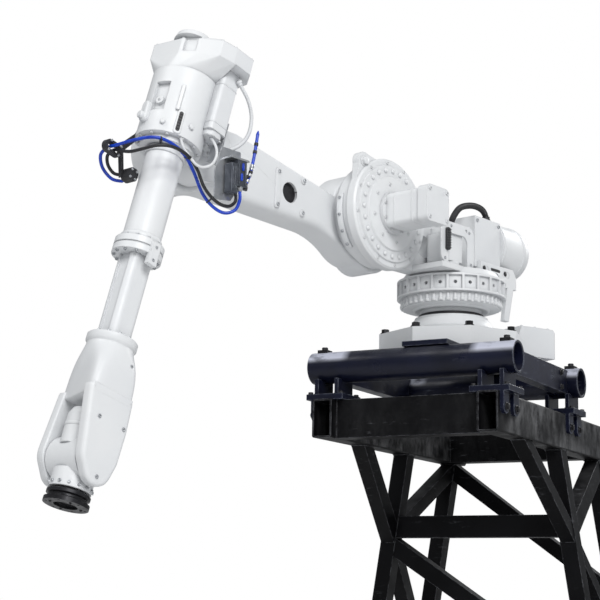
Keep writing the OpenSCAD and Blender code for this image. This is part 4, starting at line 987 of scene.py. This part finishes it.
def weld(a, b, count, across):
    """Weld bead from a to b, in millimetres: a half-sunk round section whose radius swells and shrinks
    along the run in small ripples."""
    path = np.linspace(np.asarray(a, float), np.asarray(b, float), count) / 1000
    ripple = 2 * np.pi * run_of(path)
    swell = 1 + 0.16 * np.sin(ripple / 0.011) + 0.08 * np.sin(ripple / 0.037)
    return carried(circle(WELD_R, 7)[None] * swell[:, None, None], path, across)


gussets = [(x, y + g + s * GUSSET_T) for x, y, _ in SADDLES for g in (-GUSSET_Y, GUSSET_Y) for s in (-1, 1)]
welds = [weld((x - 83, y, SADDLE_Z), (x + 83, y, SADDLE_Z), 70, UP) for x, y in gussets]
welds += [weld((x + i, y - LEG_HALF, BEAM_Z), (x + i, y + LEG_HALF, BEAM_Z), 40, UP) for x, y, i in LEGS]
welds += [weld((x - LEG_HALF, y + i, BEAM_Z), (x + LEG_HALF, y + i, BEAM_Z), 40, UP) for x, y, i in LEGS]
welds += [weld((x, y, BEAM_Z), (x, y, BEAM_TOP), 80, AHEAD)
          for x in (850, 960, -655, -545) for y in (-BEAM_INSIDE, BEAM_INSIDE)]
piece("frame_welds", joined(*welds), "stand_black", "stand")
tube_round = np.linspace(0, 2 * np.pi, 72, endpoint=False)
rim_path = 0.077 * np.column_stack([np.cos(tube_round), np.sin(tube_round), 0 * tube_round])
tube_rim = carried(rounded(0.0022, 0.0112, 0.0008, 2), rim_path, UP, True)
rim_seats = [seat(ROW, (ROBOT_MM + i * TUBE_X, j * TUBE_END, TUBE_Z), (0, j, 0)) for i, j in CORNERS]
piece("tube_end_rims", repeated(tube_rim, rim_seats), "deck_navy", "stand")
tube_stud = turned([(22, -5), (22, 3), (15, 9), (7, 11), (5, 22), (0, 32)], 16)
plate_corners = [(x + i * 88, y + k * 88, SADDLE_Z) for x, y, _ in SADDLES for i, k in CORNERS]
lug_seats = [seat(ROW, (x + i * 70, y + j * LUG_Y, BEAM_TOP - 75), (0, j, 0)) for x, y, j in SADDLES for i in (-1, 1)]
link_seats = [seat(ROW, (ROBOT_MM + i * LINK_X, j * LINK_END, TUBE_Z + k * 40), (0, j, 0))
              for i, j in CORNERS for k in (-1, 1)]
piece("saddle_bolts", joined(
    set_out(hex_bolt(13, 13), ROW, plate_corners, UP),
    repeated(hex_bolt(17, 15), lug_seats),
    set_out(tube_stud, ROW, [(ROBOT_MM + i * TUBE_X, j * STUD_Y, TUBE_Z + TUBE_R) for i, j in CORNERS], UP),
    repeated(hex_bolt(14, 13), link_seats)), "black_fasteners", "stand")


def cable_tie(at_mm):
    """Flat band round both hoses: two half circles joined by straight runs, in the plane square to the hoses,
    about the points of the two hoses that lie nearest to a given place."""
    blue, black = (smooth_line(p / 1000, 12) for p in (BLUE_POINTS, BLACK_POINTS))
    i = np.argmin(np.linalg.norm(blue - np.asarray(at_mm) / 1000, axis=1))
    along = unit(blue[i + 1] - blue[i - 1])
    near = black[np.argmin(np.linalg.norm(black - blue[i], axis=1))]
    across = near - blue[i]
    across -= along * (across @ along)
    gap = np.linalg.norm(across)
    u = across / gap
    v = np.cross(along, u)
    half = np.linspace(-np.pi / 2, np.pi / 2, 14)
    r = HOSE_R + 0.0012
    turn_in = np.column_stack([gap / 2 + r * np.cos(half), r * np.sin(half)])
    loop = np.concatenate([turn_in, -turn_in])
    path = (blue[i] + across / 2) + loop[:, :1] * u + loop[:, 1:] * v
    band = carried(rounded(0.006, 0.0014, 0.0005, 2), path, along, True)
    lock = plate((8, 8, 1.5), 0, 6, 0.5, 1, 3)
    head = set_out(lock, np.eye(4), [1000 * (blue[i] + across / 2 + v * r)], v)
    return repeated(joined(band, head), [UPPER])


TIES = [207, 160, 13], [330, 165, -165], [197, 148, 158]
piece("hose_ties", joined(*[cable_tie(at) for at in TIES]), "dark_plastic", "upper_arm")


# Floor, light and camera

FLOOR_HALF = 40.0


def floor():
    """Flat pale square, its corners a grid of two parameters."""
    u, v = np.meshgrid([-FLOOR_HALF, FLOOR_HALF], [-FLOOR_HALF, FLOOR_HALF])
    data = bpy.data.meshes.new("floor")
    data.from_pydata(np.stack([u, v, 0 * u], -1).reshape(-1, 3).tolist(), [], [(0, 1, 3, 2)])
    made = added("floor", data)
    f = Finish("pale_floor")
    tone = f.mix(f.band(f.noise(0.6, 4), 0.3, 0.7), (0.80, 0.80, 0.80), (0.84, 0.84, 0.84))
    data.materials.append(f.surface(tone, 0.7))


def lamp(name, place_at, target, size, power):
    """Square soft light that looks at a target."""
    data = bpy.data.lights.new(name, "AREA")
    data.size = size
    data.energy = power
    made = added(name, data)
    made.location = place_at
    made.rotation_euler = (Vector(target) - Vector(place_at)).to_track_quat("-Z", "Y").to_euler()


def studio():
    """White surroundings for the camera, a softer grey for the light that they give, and three soft lamps."""
    world = bpy.data.worlds.new("studio")
    world.use_nodes = True
    bpy.context.scene.world = world
    tree = world.node_tree
    both = tree.nodes.new("ShaderNodeMixShader")
    tree.links.new(tree.nodes.new("ShaderNodeLightPath").outputs["Is Camera Ray"], both.inputs["Fac"])
    back, seen = tree.nodes["Background"], tree.nodes.new("ShaderNodeBackground")
    for i, node, colour, strength in ((1, back, (0.93, 0.96, 1.0, 1), 0.31), (2, seen, (1, 1, 1, 1), 1.0)):
        node.inputs["Color"].default_value = colour
        node.inputs["Strength"].default_value = strength
        tree.links.new(node.outputs["Background"], both.inputs[i])
    tree.links.new(both.outputs["Shader"], tree.nodes["World Output"].inputs["Surface"])
    middle = (1.0, 0.0, 2.2)
    lamp("key_light", (9.4, -5.0, 13.8), middle, 6.0, 520)
    lamp("front_light", (11.6, 10.0, 10.2), middle, 7.0, 1750)
    lamp("back_light", (-5.0, 2.0, 5.5), middle, 3.0, 150)


# The photograph's viewpoint: place, turn, tilt and roll, then the picture's own scale and middle in pixels
EYE = Vector((7.587, 3.026, 0.810))
YAW, PITCH, ROLL = (math.radians(a) for a in (27.4, 9.53, 0.85))
SENSOR, PICTURE, FOCAL_PX, MIDDLE_PX = 36, 600, 1453, (336, 346)


def camera():
    """Camera whose right, up and back axes come from the yaw, tilt and roll."""
    level = math.cos(PITCH)
    ahead = Vector((-math.cos(YAW) * level, -math.sin(YAW) * level, math.sin(PITCH)))
    right = ahead.cross(Vector((0, 0, 1))).normalized()
    up = right.cross(ahead)
    c, s = math.cos(ROLL), math.sin(ROLL)
    right, up = c * right + s * up, c * up - s * right
    data = bpy.data.cameras.new("camera")
    data.sensor_width = SENSOR
    data.lens = SENSOR * FOCAL_PX / PICTURE
    data.shift_x = (PICTURE / 2 - MIDDLE_PX[0]) / PICTURE
    data.shift_y = (MIDDLE_PX[1] - PICTURE / 2) / PICTURE
    data.clip_end = 200
    made = added("camera", data)
    made.matrix_world = Matrix((right, up, -ahead)).transposed().to_4x4()
    made.location = EYE
    bpy.context.scene.camera = made


floor()
studio()
camera()
bpy.context.scene.view_settings.view_transform = "Standard"
